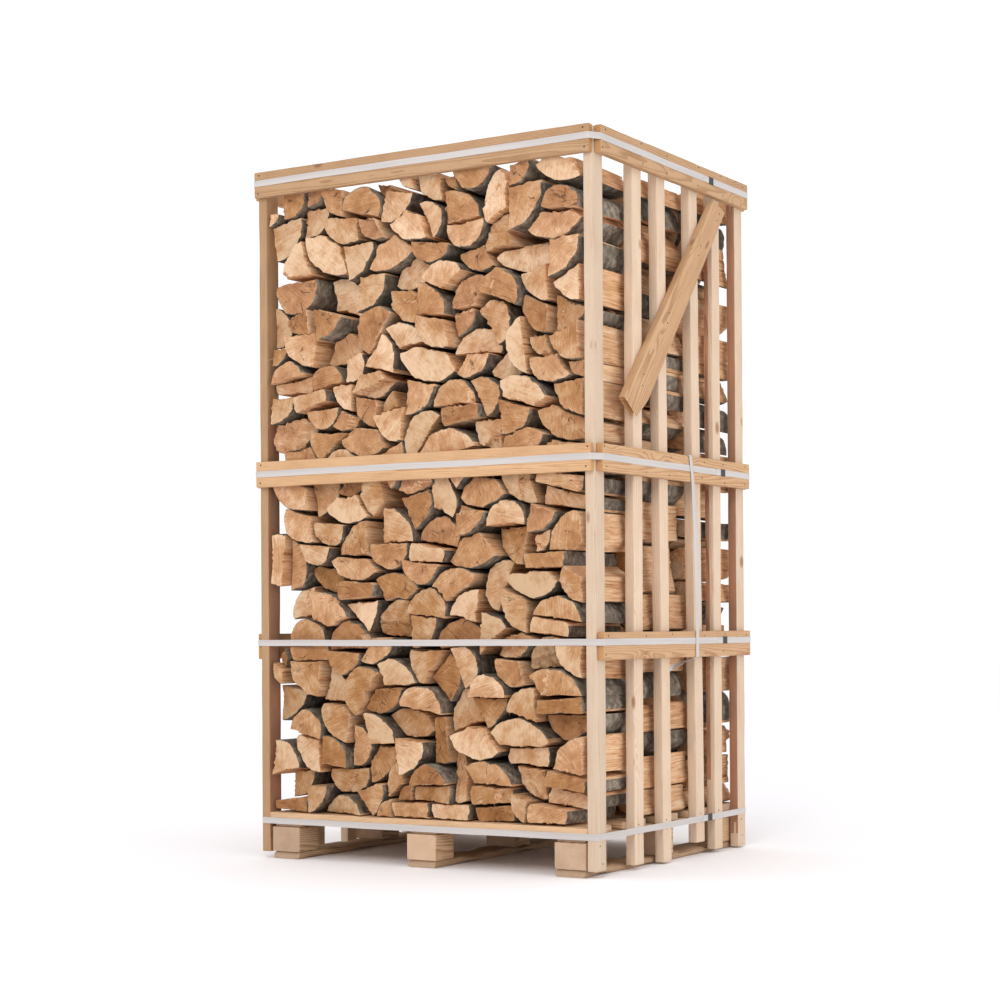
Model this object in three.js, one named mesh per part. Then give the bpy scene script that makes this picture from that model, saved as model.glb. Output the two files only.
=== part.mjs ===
// Crate of split firewood: rows of beech logs stacked on a block pallet between slatted sides,
// held by nailed rails and by plastic strapping with crimped steel seals.
//
// Millimetres. X runs along the open front, Y goes back through the crate and Z is up. The origin is on
// the floor under the middle of the pallet.

import * as THREE from 'three';

// ---- Driving dimensions ----------------------------------------------------------------------------

const WIDTH = 1200; // over the outer faces of the uprights
const DEPTH = 1000; // front face to back face of the corner posts
const HEIGHT = 2150; // floor to the top edge of the upper rails
const GAP = 0.3; // left between pieces that touch

const RAIL = { height: 80, thickness: 22 };
const SIDE_RAIL_SETBACK = 13; // the side rails start this far behind the posts' front faces
const MIDDLE_RAIL_TOP = 1242;
const LOWER_RAIL_TOP = 703;

const UPRIGHT = { thickness: 30, topBelowRail: 2, slatTopBelowRail: 26 };

const SKID = { width: 98, height: 22, nose: 26, noseHeight: 9 };
const BLOCK = { width: 104, depth: 100, height: 78 };
const STRINGER = { width: 96, height: 22, endSetback: 10 };
const DECK = { boards: 5, width: 145, height: 22 };
const BLOCK_COLUMNS = { left: -507, middle: 0, right: 513 };

const STRAP = { width: 19, thickness: 0.9 };
const SEAL = { length: 30, height: 22.6, thickness: 0.8, lip: 1.2 };

const LOG_LENGTH = 328;
const LOG_ROW_PITCH = 332;
const LOG_ROW_FRONT = -496; // front ends of the first row
const LOG_SIDE_ROOM = 8; // between the heap and the uprights
const HEAP_TOP_LEFT = 2068;
const HEAP_TOP_RIGHT = 2056;

// Uprights of one side, front to back: where each board's front edge is at its foot and at its head, how
// wide it is, and how high its foot hangs above the floor. The boards stand a little out of true.
const UPRIGHTS = [
  { label: 'post_front', foot: -500, head: -500, width: 60, footZ: 20 },
  { label: 'slat_1', foot: -267, head: -258, width: 57, footZ: 16 },
  { label: 'slat_2', foot: -83, head: -103, width: 55, footZ: 6 },
  { label: 'slat_3', foot: 144, head: 116, width: 55, footZ: 45 },
  { label: 'slat_4', foot: 275, head: 277, width: 54, footZ: 12 },
  { label: 'post_back', foot: 445, head: 445, width: 55, footZ: 5 },
];

// ---- Worked out from them --------------------------------------------------------------------------

const halfWidth = WIDTH / 2;
const halfDepth = DEPTH / 2;
const innerX = halfWidth - UPRIGHT.thickness;
const sideRailFront = -halfDepth + SIDE_RAIL_SETBACK;
const blockTop = SKID.height + BLOCK.height;
const stringerTop = blockTop + STRINGER.height;
const deckTop = stringerTop + DECK.height;
const middleRailZ = MIDDLE_RAIL_TOP - RAIL.height / 2;
const lowerRailZ = LOWER_RAIL_TOP - RAIL.height / 2;
const topRailZ = HEIGHT - RAIL.height / 2;

// ---- Finishes --------------------------------------------------------------------------------------

const finish = (color, roughness, metalness = 0) => ({ color, roughness, metalness });
const RAIL_PINE = finish('#d9b27c', 0.75);
const SLAT_PINE = finish('#e8d3b5', 0.78);
const PALLET_PINE = finish('#d8b78c', 0.82);
const SPLIT_BEECH = finish('#c68f5e', 0.85);
const STRAP_PLASTIC = finish('#e4e2e0', 0.35);
const SEAL_STEEL = finish('#3f3d40', 0.45, 0.9);

// ---- Shape helpers ---------------------------------------------------------------------------------

const crate = new THREE.Group();

/** Adds one named piece to the crate. */
function add(name, geometry, look, group = crate) {
  const piece = new THREE.Mesh(geometry, new THREE.MeshStandardMaterial(look));
  piece.name = name;
  group.add(piece);
  return piece;
}

/** A square-sawn board between two corners, lowest first. */
function board(name, low, high, look, group) {
  const size = high.map((value, axis) => value - low[axis]);
  const piece = add(name, new THREE.BoxGeometry(...size), look, group);
  piece.position.set(...low.map((value, axis) => value + size[axis] / 2));
  return piece;
}

/** A closed outline as a shape; each corner is a pair of numbers. */
function outline(corners) {
  return new THREE.Shape(corners.map(([a, b]) => new THREE.Vector2(a, b)));
}

/** Extrudes an outline drawn in Y and Z along X, from x to x + thickness. */
function extrudeAlongX(corners, x, thickness) {
  const geometry = new THREE.ExtrudeGeometry(outline(corners), { depth: thickness, bevelEnabled: false });
  // The extrusion runs along +Z of the drawing: turn drawing (a, b, depth) into (depth, a, b).
  geometry.applyMatrix4(new THREE.Matrix4().set(0, 0, 1, x, 1, 0, 0, 0, 0, 1, 0, 0, 0, 0, 0, 1));
  return geometry;
}

/** Extrudes an outline drawn in X and Z along Y, from y to y + length. */
function extrudeAlongY(corners, y, length) {
  const geometry = new THREE.ExtrudeGeometry(outline(corners), { depth: length, bevelEnabled: false });
  // Turn drawing (a, b, depth) into (a, y + length - depth, b), which keeps the faces pointing out.
  geometry.applyMatrix4(new THREE.Matrix4().set(1, 0, 0, 0, 0, 0, -1, y + length, 0, 1, 0, 0, 0, 0, 0, 1));
  return geometry;
}

/** Moves every edge of a convex outline, corners listed anticlockwise, outwards by a distance. */
function offset(corners, distance) {
  const count = corners.length;
  const edges = corners.map((corner, index) => {
    const next = corners[(index + 1) % count];
    const along = new THREE.Vector2(next[0] - corner[0], next[1] - corner[1]).normalize();
    return { along, out: new THREE.Vector2(along.y, -along.x) };
  });
  return corners.map((corner, index) => {
    const before = edges[(index + count - 1) % count].out;
    const after = edges[index].out;
    const mitre = before.clone().add(after);
    mitre.multiplyScalar(distance / (1 + before.dot(after)));
    return [corner[0] + mitre.x, corner[1] + mitre.y];
  });
}

/** A flat band through stations of { at, across }, square-ended, as one closed strip. */
function ribbon(stations, width, thickness) {
  const points = stations.map(({ at }) => new THREE.Vector3(...at));
  const vertices = [];
  stations.forEach(({ across }, index) => {
    const before = points[Math.max(index - 1, 0)];
    const after = points[Math.min(index + 1, points.length - 1)];
    const along = after.clone().sub(before).normalize();
    const side = new THREE.Vector3(...across).normalize();
    const face = along.clone().cross(side).normalize();
    for (const [s, f] of [[-1, -1], [1, -1], [1, 1], [-1, 1]]) {
      const corner = points[index].clone();
      corner.addScaledVector(side, (s * width) / 2).addScaledVector(face, (f * thickness) / 2);
      vertices.push(corner.x, corner.y, corner.z);
    }
  });
  const last = (stations.length - 1) * 4;
  const faces = [0, 2, 1, 0, 3, 2, last, last + 1, last + 2, last, last + 2, last + 3];
  for (let ring = 0; ring < last; ring += 4) {
    for (let corner = 0; corner < 4; corner += 1) {
      const a = ring + corner;
      const b = ring + ((corner + 1) % 4);
      faces.push(a, b, b + 4, a, b + 4, a + 4);
    }
  }
  const geometry = new THREE.BufferGeometry();
  geometry.setAttribute('position', new THREE.Float32BufferAttribute(vertices, 3));
  geometry.setIndex(faces);
  return geometry;
}

// ---- Pallet ----------------------------------------------------------------------------------------

/** Skids, blocks and stringers run front to back in three columns; the deck boards cross them. */
function buildPallet() {
  const pallet = new THREE.Group();
  const blockRows = {
    front: -halfDepth + BLOCK.depth / 2,
    middle: 0,
    back: halfDepth - BLOCK.depth / 2,
  };
  for (const [side, x] of Object.entries(BLOCK_COLUMNS)) {
    const skidSide = [
      [-halfDepth, 0],
      [halfDepth, 0],
      [halfDepth, SKID.noseHeight],
      [halfDepth - SKID.nose, SKID.height - GAP],
      [-halfDepth + SKID.nose, SKID.height - GAP],
      [-halfDepth, SKID.noseHeight],
    ];
    add(`skid_${side}`, extrudeAlongX(skidSide, x - SKID.width / 2, SKID.width), PALLET_PINE, pallet);
    for (const [row, y] of Object.entries(blockRows)) {
      board(
        `block_${side}_${row}`,
        [x - BLOCK.width / 2, y - BLOCK.depth / 2, SKID.height],
        [x + BLOCK.width / 2, y + BLOCK.depth / 2, blockTop - GAP],
        PALLET_PINE,
        pallet,
      );
    }
    board(
      `stringer_${side}`,
      [x - STRINGER.width / 2, -halfDepth + STRINGER.endSetback, blockTop],
      [x + STRINGER.width / 2, halfDepth - STRINGER.endSetback, stringerTop - GAP],
      PALLET_PINE,
      pallet,
    );
  }
  const deckPitch = (DEPTH - DECK.width) / (DECK.boards - 1);
  for (let index = 0; index < DECK.boards; index += 1) {
    const y = -halfDepth + index * deckPitch;
    board(
      `deck_board_${index + 1}`,
      [-innerX + GAP, y, stringerTop],
      [innerX - GAP, y + DECK.width, deckTop - GAP],
      PALLET_PINE,
      pallet,
    );
  }
  crate.add(pallet);
}

// ---- Slatted sides ---------------------------------------------------------------------------------

/** Corner posts and slats of one side, nailed against the pallet's edge. */
function buildUprights(sideName, sign) {
  const x = sign > 0 ? innerX : -halfWidth;
  for (const { label, foot, head, width, footZ } of UPRIGHTS) {
    const isPost = label.startsWith('post');
    const headZ = HEIGHT - (isPost ? UPRIGHT.topBelowRail : UPRIGHT.slatTopBelowRail);
    const corners = [
      [foot, footZ],
      [foot + width, footZ],
      [head + width, headZ],
      [head, headZ],
    ];
    add(`${label}_${sideName}`, extrudeAlongX(corners, x, UPRIGHT.thickness), SLAT_PINE);
  }
}

/** Rails across the outside of one side: upper, middle and lower. */
function buildSideRails(sideName, sign) {
  const near = halfWidth + GAP;
  const far = halfWidth + RAIL.thickness;
  const [lowX, highX] = sign > 0 ? [near, far] : [-far, -near];
  for (const [level, z] of [['upper', topRailZ], ['middle', middleRailZ], ['lower', lowerRailZ]]) {
    board(
      `rail_${level}_${sideName}`,
      [lowX, sideRailFront, z - RAIL.height / 2],
      [highX, halfDepth, z + RAIL.height / 2],
      RAIL_PINE,
    );
  }
}

/** Diagonal board nailed over the slats of one side, with a blunt point at its foot. */
function buildBrace(sideName, sign) {
  const corners = [
    [-280, 1333],
    [-205, 1388],
    [331, 2034],
    [246, 2056],
    [-355, 1385],
  ];
  const x = sign > 0 ? halfWidth + GAP : -halfWidth - RAIL.thickness;
  add(`brace_${sideName}`, extrudeAlongX(corners, x, RAIL.thickness - GAP), RAIL_PINE);
}

/** Upper and middle rails across the open front and the open back. */
function buildEndRails() {
  const near = halfDepth + GAP;
  const far = halfDepth + RAIL.thickness;
  for (const [endName, lowY, highY] of [['front', -far, -near], ['back', near, far]]) {
    for (const [level, z] of [['upper', topRailZ], ['middle', middleRailZ]]) {
      board(
        `rail_${level}_${endName}`,
        [-halfWidth, lowY, z - RAIL.height / 2],
        [halfWidth, highY, z + RAIL.height / 2],
        RAIL_PINE,
      );
    }
  }
}

// ---- Strapping -------------------------------------------------------------------------------------

/** Plan outline that a strap pulled round the crate lies on, anticlockwise seen from above. */
function strapPlan({ sideReach, endReach }) {
  const farX = halfWidth + sideReach;
  const farY = halfDepth + endReach;
  const cornerY = sideReach > 0 ? sideRailFront : -halfDepth;
  const plan = [
    [-halfWidth, -farY],
    [halfWidth, -farY],
    [farX, cornerY],
    [farX, halfDepth],
    [halfWidth, farY],
    [-halfWidth, farY],
    [-farX, halfDepth],
    [-farX, cornerY],
  ];
  return plan.filter(([x, y], index) => {
    const [nextX, nextY] = plan[(index + 1) % plan.length];
    return x !== nextX || y !== nextY;
  });
}

/** A strap pulled flat round the crate at one height. */
function buildStrap(level, z, reach) {
  const plan = strapPlan(reach);
  const band = outline(offset(plan, GAP + STRAP.thickness));
  band.holes.push(outline(offset(plan, GAP)));
  const geometry = new THREE.ExtrudeGeometry(band, { depth: STRAP.width, bevelEnabled: false });
  geometry.translate(0, 0, z - STRAP.width / 2);
  add(`strap_${level}`, geometry, STRAP_PLASTIC);
}

/** A steel seal folded over a strap's edges on the right side, centred at y. */
function buildSeal(level, y, z, faceX) {
  const inner = faceX + GAP + STRAP.thickness + GAP;
  const outer = inner + SEAL.thickness;
  const lipX = inner - SEAL.lip;
  const high = SEAL.height / 2;
  const low = high - SEAL.thickness;
  const channel = [
    [lipX, z - high],
    [outer, z - high],
    [outer, z + high],
    [lipX, z + high],
    [lipX, z + low],
    [inner, z + low],
    [inner, z - low],
    [lipX, z - low],
  ];
  add(`seal_${level}`, extrudeAlongY(channel, y - SEAL.length / 2, SEAL.length), SEAL_STEEL);
}

/** Strap looped over the middle rail of the right side and under the lower one, its tail behind a slat. */
function buildTieStrap() {
  const face = halfWidth + RAIL.thickness;
  const round = 1.5; // how far the strap's middle stands off a rail's edge where it bends round it
  const hangX = face + 2 * (GAP + STRAP.thickness);
  const behindX = halfWidth - round;
  const overZ = MIDDLE_RAIL_TOP + round;
  const lowerRailFoot = LOWER_RAIL_TOP - RAIL.height;
  const underZ = lowerRailFoot - round;
  const alongY = [0, 1, 0];
  const stations = [
    { at: [behindX, 62, middleRailZ - 20], across: alongY },
    { at: [behindX, 63, MIDDLE_RAIL_TOP], across: alongY },
    { at: [halfWidth + GAP, 64, overZ], across: alongY },
    { at: [face, 65, overZ], across: alongY },
    { at: [hangX, 67, MIDDLE_RAIL_TOP - round], across: alongY },
    { at: [hangX, 83, MIDDLE_RAIL_TOP - RAIL.height], across: alongY },
    { at: [hangX + 1, 96, 1020], across: [0.3, 0.95, 0] },
    { at: [hangX + 2, 105, 860], across: [0.42, 0.91, 0] },
    { at: [hangX + 1, 107, 760], across: [0.2, 0.98, 0] },
    { at: [hangX, 108, LOWER_RAIL_TOP], across: alongY },
    { at: [hangX, 106, lowerRailFoot], across: alongY },
    { at: [face, 104, underZ], across: alongY },
    { at: [halfWidth + 2, 92, underZ - 5], across: [-0.35, 0.9, 0.2] },
    { at: [innerX - 3, 50, underZ - 30], across: [0, 0.5, 0.9] },
    { at: [innerX - 3.6, -60, underZ - 52], across: [0, 0.2, 1] },
  ];
  add('strap_tie', ribbon(stations, STRAP.width, STRAP.thickness), STRAP_PLASTIC);
}

// ---- Logs ------------------------------------------------------------------------------------------

/** Three rows of stacked logs, one behind the other, each as the closed shape that its log tips reach. */
function buildLogRows() {
  const heapX = innerX - LOG_SIDE_ROOM;
  const heap = [
    [-heapX, deckTop],
    [heapX, deckTop],
    [heapX, HEAP_TOP_RIGHT],
    [-heapX, HEAP_TOP_LEFT],
  ];
  ['front', 'middle', 'back'].forEach((label, index) => {
    const y = LOG_ROW_FRONT + index * LOG_ROW_PITCH;
    add(`log_row_${label}`, extrudeAlongY(heap, y, LOG_LENGTH), SPLIT_BEECH);
  });
}

// ---- The crate -------------------------------------------------------------------------------------

buildPallet();
for (const [sideName, sign] of [['left', -1], ['right', 1]]) {
  buildUprights(sideName, sign);
  buildSideRails(sideName, sign);
  buildBrace(sideName, sign);
}
buildEndRails();

const overRails = { sideReach: RAIL.thickness, endReach: RAIL.thickness };
const overSideRails = { sideReach: RAIL.thickness, endReach: 0 };
const overPallet = { sideReach: 0, endReach: 0 };
const palletStrapZ = 117.5;
buildStrap('upper', topRailZ + 5, overRails);
buildStrap('middle', middleRailZ + 1, overRails);
buildStrap('lower', lowerRailZ + 11, overSideRails);
buildStrap('pallet', palletStrapZ, overPallet);
buildTieStrap();

const railFace = halfWidth + RAIL.thickness;
buildSeal('upper', 227, topRailZ + 5, railFace);
buildSeal('middle', 299, middleRailZ + 1, railFace);
buildSeal('lower', 306, lowerRailZ + 11, railFace);
buildSeal('pallet', 235, palletStrapZ, halfWidth);

buildLogRows();

export default crate;
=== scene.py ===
"""A crate of split firewood on a block pallet, nailed and strapped.

Boards, nails, strapping and every split log are built here in metres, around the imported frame.
X runs along the open front, Y goes back through the crate and Z is up.
"""

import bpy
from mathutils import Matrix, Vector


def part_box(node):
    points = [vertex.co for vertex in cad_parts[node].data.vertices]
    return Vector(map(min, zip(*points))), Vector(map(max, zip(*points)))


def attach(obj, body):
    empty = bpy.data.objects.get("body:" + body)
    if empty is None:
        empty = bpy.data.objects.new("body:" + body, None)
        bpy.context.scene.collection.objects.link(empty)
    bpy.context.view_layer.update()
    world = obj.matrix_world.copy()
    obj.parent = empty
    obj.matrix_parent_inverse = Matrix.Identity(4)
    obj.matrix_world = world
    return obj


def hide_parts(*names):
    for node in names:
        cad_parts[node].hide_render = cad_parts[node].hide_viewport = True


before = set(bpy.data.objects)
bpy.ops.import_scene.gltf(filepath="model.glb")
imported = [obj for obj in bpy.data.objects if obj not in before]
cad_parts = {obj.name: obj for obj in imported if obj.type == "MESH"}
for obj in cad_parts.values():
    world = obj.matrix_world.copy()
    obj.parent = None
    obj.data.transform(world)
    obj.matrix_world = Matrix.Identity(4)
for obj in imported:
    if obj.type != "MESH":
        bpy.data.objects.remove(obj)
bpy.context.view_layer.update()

import logging
import math
from dataclasses import dataclass, field
from enum import Enum
from functools import partial
from typing import Any, Callable, Sequence

import bpy
import numpy as np
from mathutils import Matrix

log = logging.getLogger("firewood")

FULL_TURN = 2 * math.pi
MM = 0.001
BODY = "root"
GAP = 0.3 * MM  # left between pieces that touch
FAR_OFF = 9.0  # metres: further than anything in the crate

# Sockets of a colour Mix node, which repeats its names for each kind of data.
MIX_SHARE, MIX_FIRST, MIX_SECOND = 0, 6, 7


# ---- Colour and nodes ----


def linear(code: str) -> tuple[float, ...]:
    """Turns an sRGB hex colour into the linear colour that shaders take.

    Args:
        code: six hex digits after a hash sign.

    Returns:
        Red, green, blue and an alpha of 1.
    """
    parts = [int(code[i : i + 2], 16) / 255 for i in (1, 3, 5)]
    return (*(p / 12.92 if p <= 0.04045 else ((p + 0.055) / 1.055) ** 2.4 for p in parts), 1.0)


def add_node(
    tree: bpy.types.NodeTree,
    kind: str,
    inputs: dict[Any, Any] | None = None,
    stops: Sequence[tuple[float, str]] = (),
    out: str | None = None,
    **settings: Any,
) -> bpy.types.NodeSocket:
    """Adds a shader node with its settings and links.

    Args:
        tree: the node tree that takes it.
        kind: the node's type name, without its common beginning.
        inputs: for each input's name or number, a value or the socket that feeds it.
        stops: positions and hex colours, where the node is a colour ramp.
        out: the name of the output that is wanted, where it isn't the first in use.
        settings: the node's own properties.

    Returns:
        That output.
    """
    node = tree.nodes.new("ShaderNode" + kind)
    for name, value in settings.items():
        setattr(node, name, value)
    for key, value in (inputs or {}).items():
        if isinstance(value, bpy.types.NodeSocket):
            tree.links.new(value, node.inputs[key])
        else:
            node.inputs[key].default_value = value
    if stops:
        elements = node.color_ramp.elements
        while len(elements) < len(stops):
            elements.new(1.0)
        for element, (position, code) in zip(elements, stops):
            element.position = position
            element.color = linear(code)
    if out:
        return node.outputs[out]
    return next((socket for socket in node.outputs if socket.enabled), None)


@dataclass(frozen=True)
class Timber:
    """What a wood's pattern reads: the place in the timber, and three random numbers of its piece."""

    tree: bpy.types.NodeTree
    grain: bpy.types.NodeSocket
    own: bpy.types.NodeSocket
    lots: Any

    @classmethod
    def read(cls, tree: bpy.types.NodeTree) -> "Timber":
        """Reads the piece's attributes; own = grain moved at random for each log or board."""
        grain = add_node(tree, "Attribute", out="Vector", attribute_name="grain")
        lot = add_node(tree, "Attribute", out="Vector", attribute_name="lot")
        own = add_node(tree, "VectorMath", {0: lot, 1: (37, 53, 71), 2: grain}, operation="MULTIPLY_ADD")
        return cls(tree, grain, own, add_node(tree, "SeparateXYZ", {0: lot}).node.outputs)

    def noise(
        self, size: tuple[float, float, float], detail: float = 3.0, bend: Any = None
    ) -> bpy.types.NodeSocket:
        """Noise whose grains have a real size.

        Args:
            size: a grain's width, length along the fibres and height, in metres.
            detail: how many finer noises are added.
            bend: a vector that shifts the pattern, if any.

        Returns:
            The noise, from 0 to 1.
        """
        add = partial(add_node, self.tree)
        place = self.own if bend is None else add("VectorMath", {0: self.own, 1: bend})
        per_metre = tuple(1 / metres for metres in size)
        scaled = add("VectorMath", {0: place, 1: per_metre}, operation="MULTIPLY")
        return add("TexNoise", {"Vector": scaled, "Scale": 1.0, "Detail": detail, "Roughness": 0.6})


def weighted(
    tree: bpy.types.NodeTree, base: Any, parts: Sequence[tuple[bpy.types.NodeSocket, float]]
) -> bpy.types.NodeSocket:
    """Adds up patterns about their middle value: base + the sum of weight * (part - 0.5).

    Args:
        tree: the material's node tree.
        base: what the sum starts from.
        parts: each pattern with its weight.

    Returns:
        The sum.
    """
    total = base
    for part, weight in parts:
        middle = add_node(tree, "Math", {0: part, 1: 0.5}, operation="SUBTRACT")
        total = add_node(tree, "Math", {0: middle, 1: weight, 2: total}, operation="MULTIPLY_ADD")
    return total


class Finish:
    """A material named for the real one; each kind says how its nodes colour and roughen it."""

    name: str
    shine: dict[str, float] = {"Roughness": 0.82, "IOR": 1.5}

    def relief(self, tree: bpy.types.NodeTree) -> tuple[Any, Any, float]:
        """Adds the finish's own nodes.

        Args:
            tree: the material's node tree.

        Returns:
            The colour, the height pattern and that pattern's depth in metres.
        """
        raise NotImplementedError

    def material(self) -> bpy.types.Material:
        """Makes the material once and hands out the same one after that."""
        made = bpy.data.materials.get(self.name)
        if made:
            return made
        made = bpy.data.materials.new(self.name)
        made.use_nodes = True
        tree = made.node_tree
        tree.nodes.clear()
        colour, height, depth = self.relief(tree)
        bump = add_node(tree, "Bump", {"Height": height, "Distance": depth})
        shader = add_node(tree, "BsdfPrincipled", {"Base Color": colour, "Normal": bump, **self.shine})
        add_node(tree, "OutputMaterial", {"Surface": shader})
        return made


def lot_level(
    tree: bpy.types.NodeTree,
    colour: bpy.types.NodeSocket,
    lot: bpy.types.NodeSocket,
    low: float,
    high: float,
    rich: tuple[float, float] = (1.0, 1.0),
) -> bpy.types.NodeSocket:
    """Lightens or darkens a colour by a log's or a board's random number.

    Args:
        tree: the node tree.
        colour: what is changed.
        lot: the random number; a log's also falls the lower it lies, partly as painted shade and partly as
            damper wood.
        low: the level at 0.
        high: the level at 1.
        rich: how saturated it is at 0 and at 1.

    Returns:
        The colour after that.
    """
    level = add_node(tree, "MapRange", {"Value": lot, "To Min": low, "To Max": high})
    fullness = add_node(tree, "MapRange", {"Value": lot, "To Min": rich[0], "To Max": rich[1]})
    return add_node(tree, "HueSaturation", {"Color": colour, "Value": level, "Saturation": fullness})


@dataclass(frozen=True)
class BeechEndGrain(Finish):
    """Cross-cut beech, chainsawn and dried: matt, cream to tan, with saw marks, rays and drying cracks."""

    name: str = "beech_cross_cut"
    pale: str = "#D9B896"
    tan: str = "#B8875C"
    brown: str = "#865430"
    crack: str = "#4A2F1C"
    mottle: float = 34 * MM
    speck: float = 2.4 * MM
    saw_pitch: float = 2.6 * MM
    saw_length: float = 45 * MM
    rich: tuple[float, float] = (1.14, 0.95)

    def relief(self, tree: bpy.types.NodeTree) -> tuple[Any, Any, float]:
        """Mottle, specks, parallel saw marks, rays out of the pith and cracks that widen outwards.

        Args:
            tree: the material's node tree.

        Returns:
            The colour, the height pattern and that pattern's depth in metres.
        """
        add = partial(add_node, tree)
        wood = Timber.read(tree)
        lots = wood.lots
        mottle = wood.noise((self.mottle,) * 3, 3.0)
        speck = wood.noise((self.speck,) * 3, 2.0)
        turn = add("Math", {0: lots[2], 1: FULL_TURN}, operation="MULTIPLY")
        turned = add("VectorRotate", {"Vector": wood.own, "Angle": turn}, rotation_type="Y_AXIS")
        pitch = (1 / self.saw_pitch, 1 / self.mottle, 1 / self.saw_length)
        drawn = add("VectorMath", {0: turned, 1: pitch}, operation="MULTIPLY")
        saw = add("TexNoise", {"Vector": drawn, "Scale": 1.0, "Detail": 3.0})
        x, _, z = add("SeparateXYZ", {0: wood.grain}).node.outputs
        angle = add("Math", {0: z, 1: x}, operation="ARCTAN2")
        flat = add("VectorMath", {0: wood.grain, 1: (1, 0, 1)}, operation="MULTIPLY")
        radius = add("VectorMath", {0: flat}, out="Value", operation="LENGTH")
        polar = add("CombineXYZ", {"X": angle, "Y": radius, "Z": lots[0]})
        fan = add("VectorMath", {0: polar, 1: (30, 45, 90)}, operation="MULTIPLY")
        rays = add("TexNoise", {"Vector": fan, "Scale": 1.0, "Detail": 2.0})
        wander = weighted(tree, 0.0, [(wood.noise((16 * MM,) * 3), 0.3)])
        split = add("VectorMath", {0: polar, 1: (0.9, 5, 170)}, operation="MULTIPLY")
        split = add("VectorMath", {0: split, 1: wander})
        edge = add("TexVoronoi", {"Vector": split, "Scale": 1.0}, feature="DISTANCE_TO_EDGE")
        across = add("Math", {0: edge, 1: radius}, operation="MULTIPLY")
        thin = add(
            "MapRange",
            {"Value": across, "From Min": 0.15 * MM, "From Max": 0.7 * MM, "To Min": 1.0, "To Max": 0.0},
        )
        patch = weighted(tree, wood.noise((45 * MM,) * 3, 1.0), [(lots[0], 0.3)])
        here = add("MapRange", {"Value": patch, "From Min": 0.57, "From Max": 0.67, "To Max": 0.9})
        clear = add("MapRange", {"Value": radius, "From Min": 10 * MM, "From Max": 24 * MM})
        crack = add("Math", {0: thin, 1: here}, operation="MULTIPLY")
        crack = add("Math", {0: crack, 1: clear}, operation="MULTIPLY")
        parts = [(mottle, 0.55), (speck, 0.2), (saw, 0.4), (rays, 0.28), (lots[0], 0.3)]
        shade = weighted(tree, 0.47, parts)
        heart = add("MapRange", {"Value": radius, "From Max": 0.1, "To Min": 0.1, "To Max": -0.08})
        shade = add("Math", {0: shade, 1: heart})
        stops = ((0.26, self.pale), (0.5, self.tan), (0.8, self.brown))
        colour = add("ValToRGB", {"Fac": shade}, stops=stops)
        colour = lot_level(tree, colour, lots[1], 0.68, 1.13, self.rich)
        colour = add(
            "Mix", {MIX_SHARE: crack, MIX_FIRST: colour, MIX_SECOND: linear(self.crack)}, data_type="RGBA"
        )
        height = weighted(tree, speck, [(saw, 1.2), (rays, 0.4), (crack, -2.5)])
        return colour, height, 0.6 * MM


@dataclass(frozen=True)
class BeechRivenFace(Finish):
    """Beech split along the grain: tan to orange, with long wavy torn fibres and dark slits between."""

    name: str = "beech_riven"
    slit: str = "#8A5632"
    deep: str = "#BC8658"
    body: str = "#D7A67A"
    fibre: str = "#E9CAA6"
    fibre_size: tuple[float, float, float] = (4 * MM, 170 * MM, 4 * MM)
    wave: float = 170 * MM

    def relief(self, tree: bpy.types.NodeTree) -> tuple[Any, Any, float]:
        """Noise drawn out along the log and bent by a broader one.

        Args:
            tree: the material's node tree.

        Returns:
            The colour, the height pattern and that pattern's depth in metres.
        """
        add = partial(add_node, tree)
        wood = Timber.read(tree)
        scaled = add("VectorMath", {0: wood.own, 1: (1 / self.wave,) * 3}, operation="MULTIPLY")
        bend = add("TexNoise", {"Vector": scaled, "Scale": 1.0, "Detail": 1.0}, out="Color")
        bend = add("VectorMath", {0: bend, 1: (20 * MM, 0, 20 * MM)}, operation="MULTIPLY")
        fibres = wood.noise(self.fibre_size, 4.0, bend)
        broad = wood.noise((24 * MM, 150 * MM, 24 * MM), 3.0, bend)
        torn = wood.noise((9 * MM, 60 * MM, 9 * MM), 2.0, bend)
        shade = weighted(tree, fibres, [(broad, 0.5), (torn, 0.2), (wood.lots[0], 0.12)])
        stops = ((0.24, self.slit), (0.34, self.deep), (0.5, self.body), (0.72, self.fibre))
        colour = add("ValToRGB", {"Fac": shade}, stops=stops)
        colour = lot_level(tree, colour, wood.lots[1], 0.8, 1.08)
        return colour, weighted(tree, fibres, [(torn, 1.2)]), 2.2 * MM


@dataclass(frozen=True)
class BeechBark(Finish):
    """Beech bark: smooth and thin, grey-brown, with pale lichen and a greenish bloom."""

    name: str = "beech_bark"
    dark: str = "#4A3E33"
    grey: str = "#74675A"
    lichen: str = "#9C9282"
    bloom: str = "#655E4B"
    patch: float = 22 * MM
    pore: float = 3 * MM

    def relief(self, tree: bpy.types.NodeTree) -> tuple[Any, Any, float]:
        """Patches of grey, a green bloom over some of them, and small pores.

        Args:
            tree: the material's node tree.

        Returns:
            The colour, the height pattern and that pattern's depth in metres.
        """
        add = partial(add_node, tree)
        wood = Timber.read(tree)
        patch = wood.noise((self.patch,) * 3, 5.0)
        pores = wood.noise((self.pore, 2 * self.pore, self.pore))
        shade = weighted(tree, patch, [(pores, 0.25), (wood.lots[0], 0.16)])
        stops = ((0.34, self.dark), (0.52, self.grey), (0.68, self.lichen))
        colour = add("ValToRGB", {"Fac": shade}, stops=stops)
        bloom = wood.noise((0.1, 0.14, 0.1), 2.0)
        share = add("MapRange", {"Value": bloom, "From Min": 0.5, "From Max": 0.66, "To Max": 0.6})
        colour = add(
            "Mix", {MIX_SHARE: share, MIX_FIRST: colour, MIX_SECOND: linear(self.bloom)}, data_type="RGBA"
        )
        return colour, weighted(tree, patch, [(pores, 0.4)]), 1.6 * MM


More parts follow.
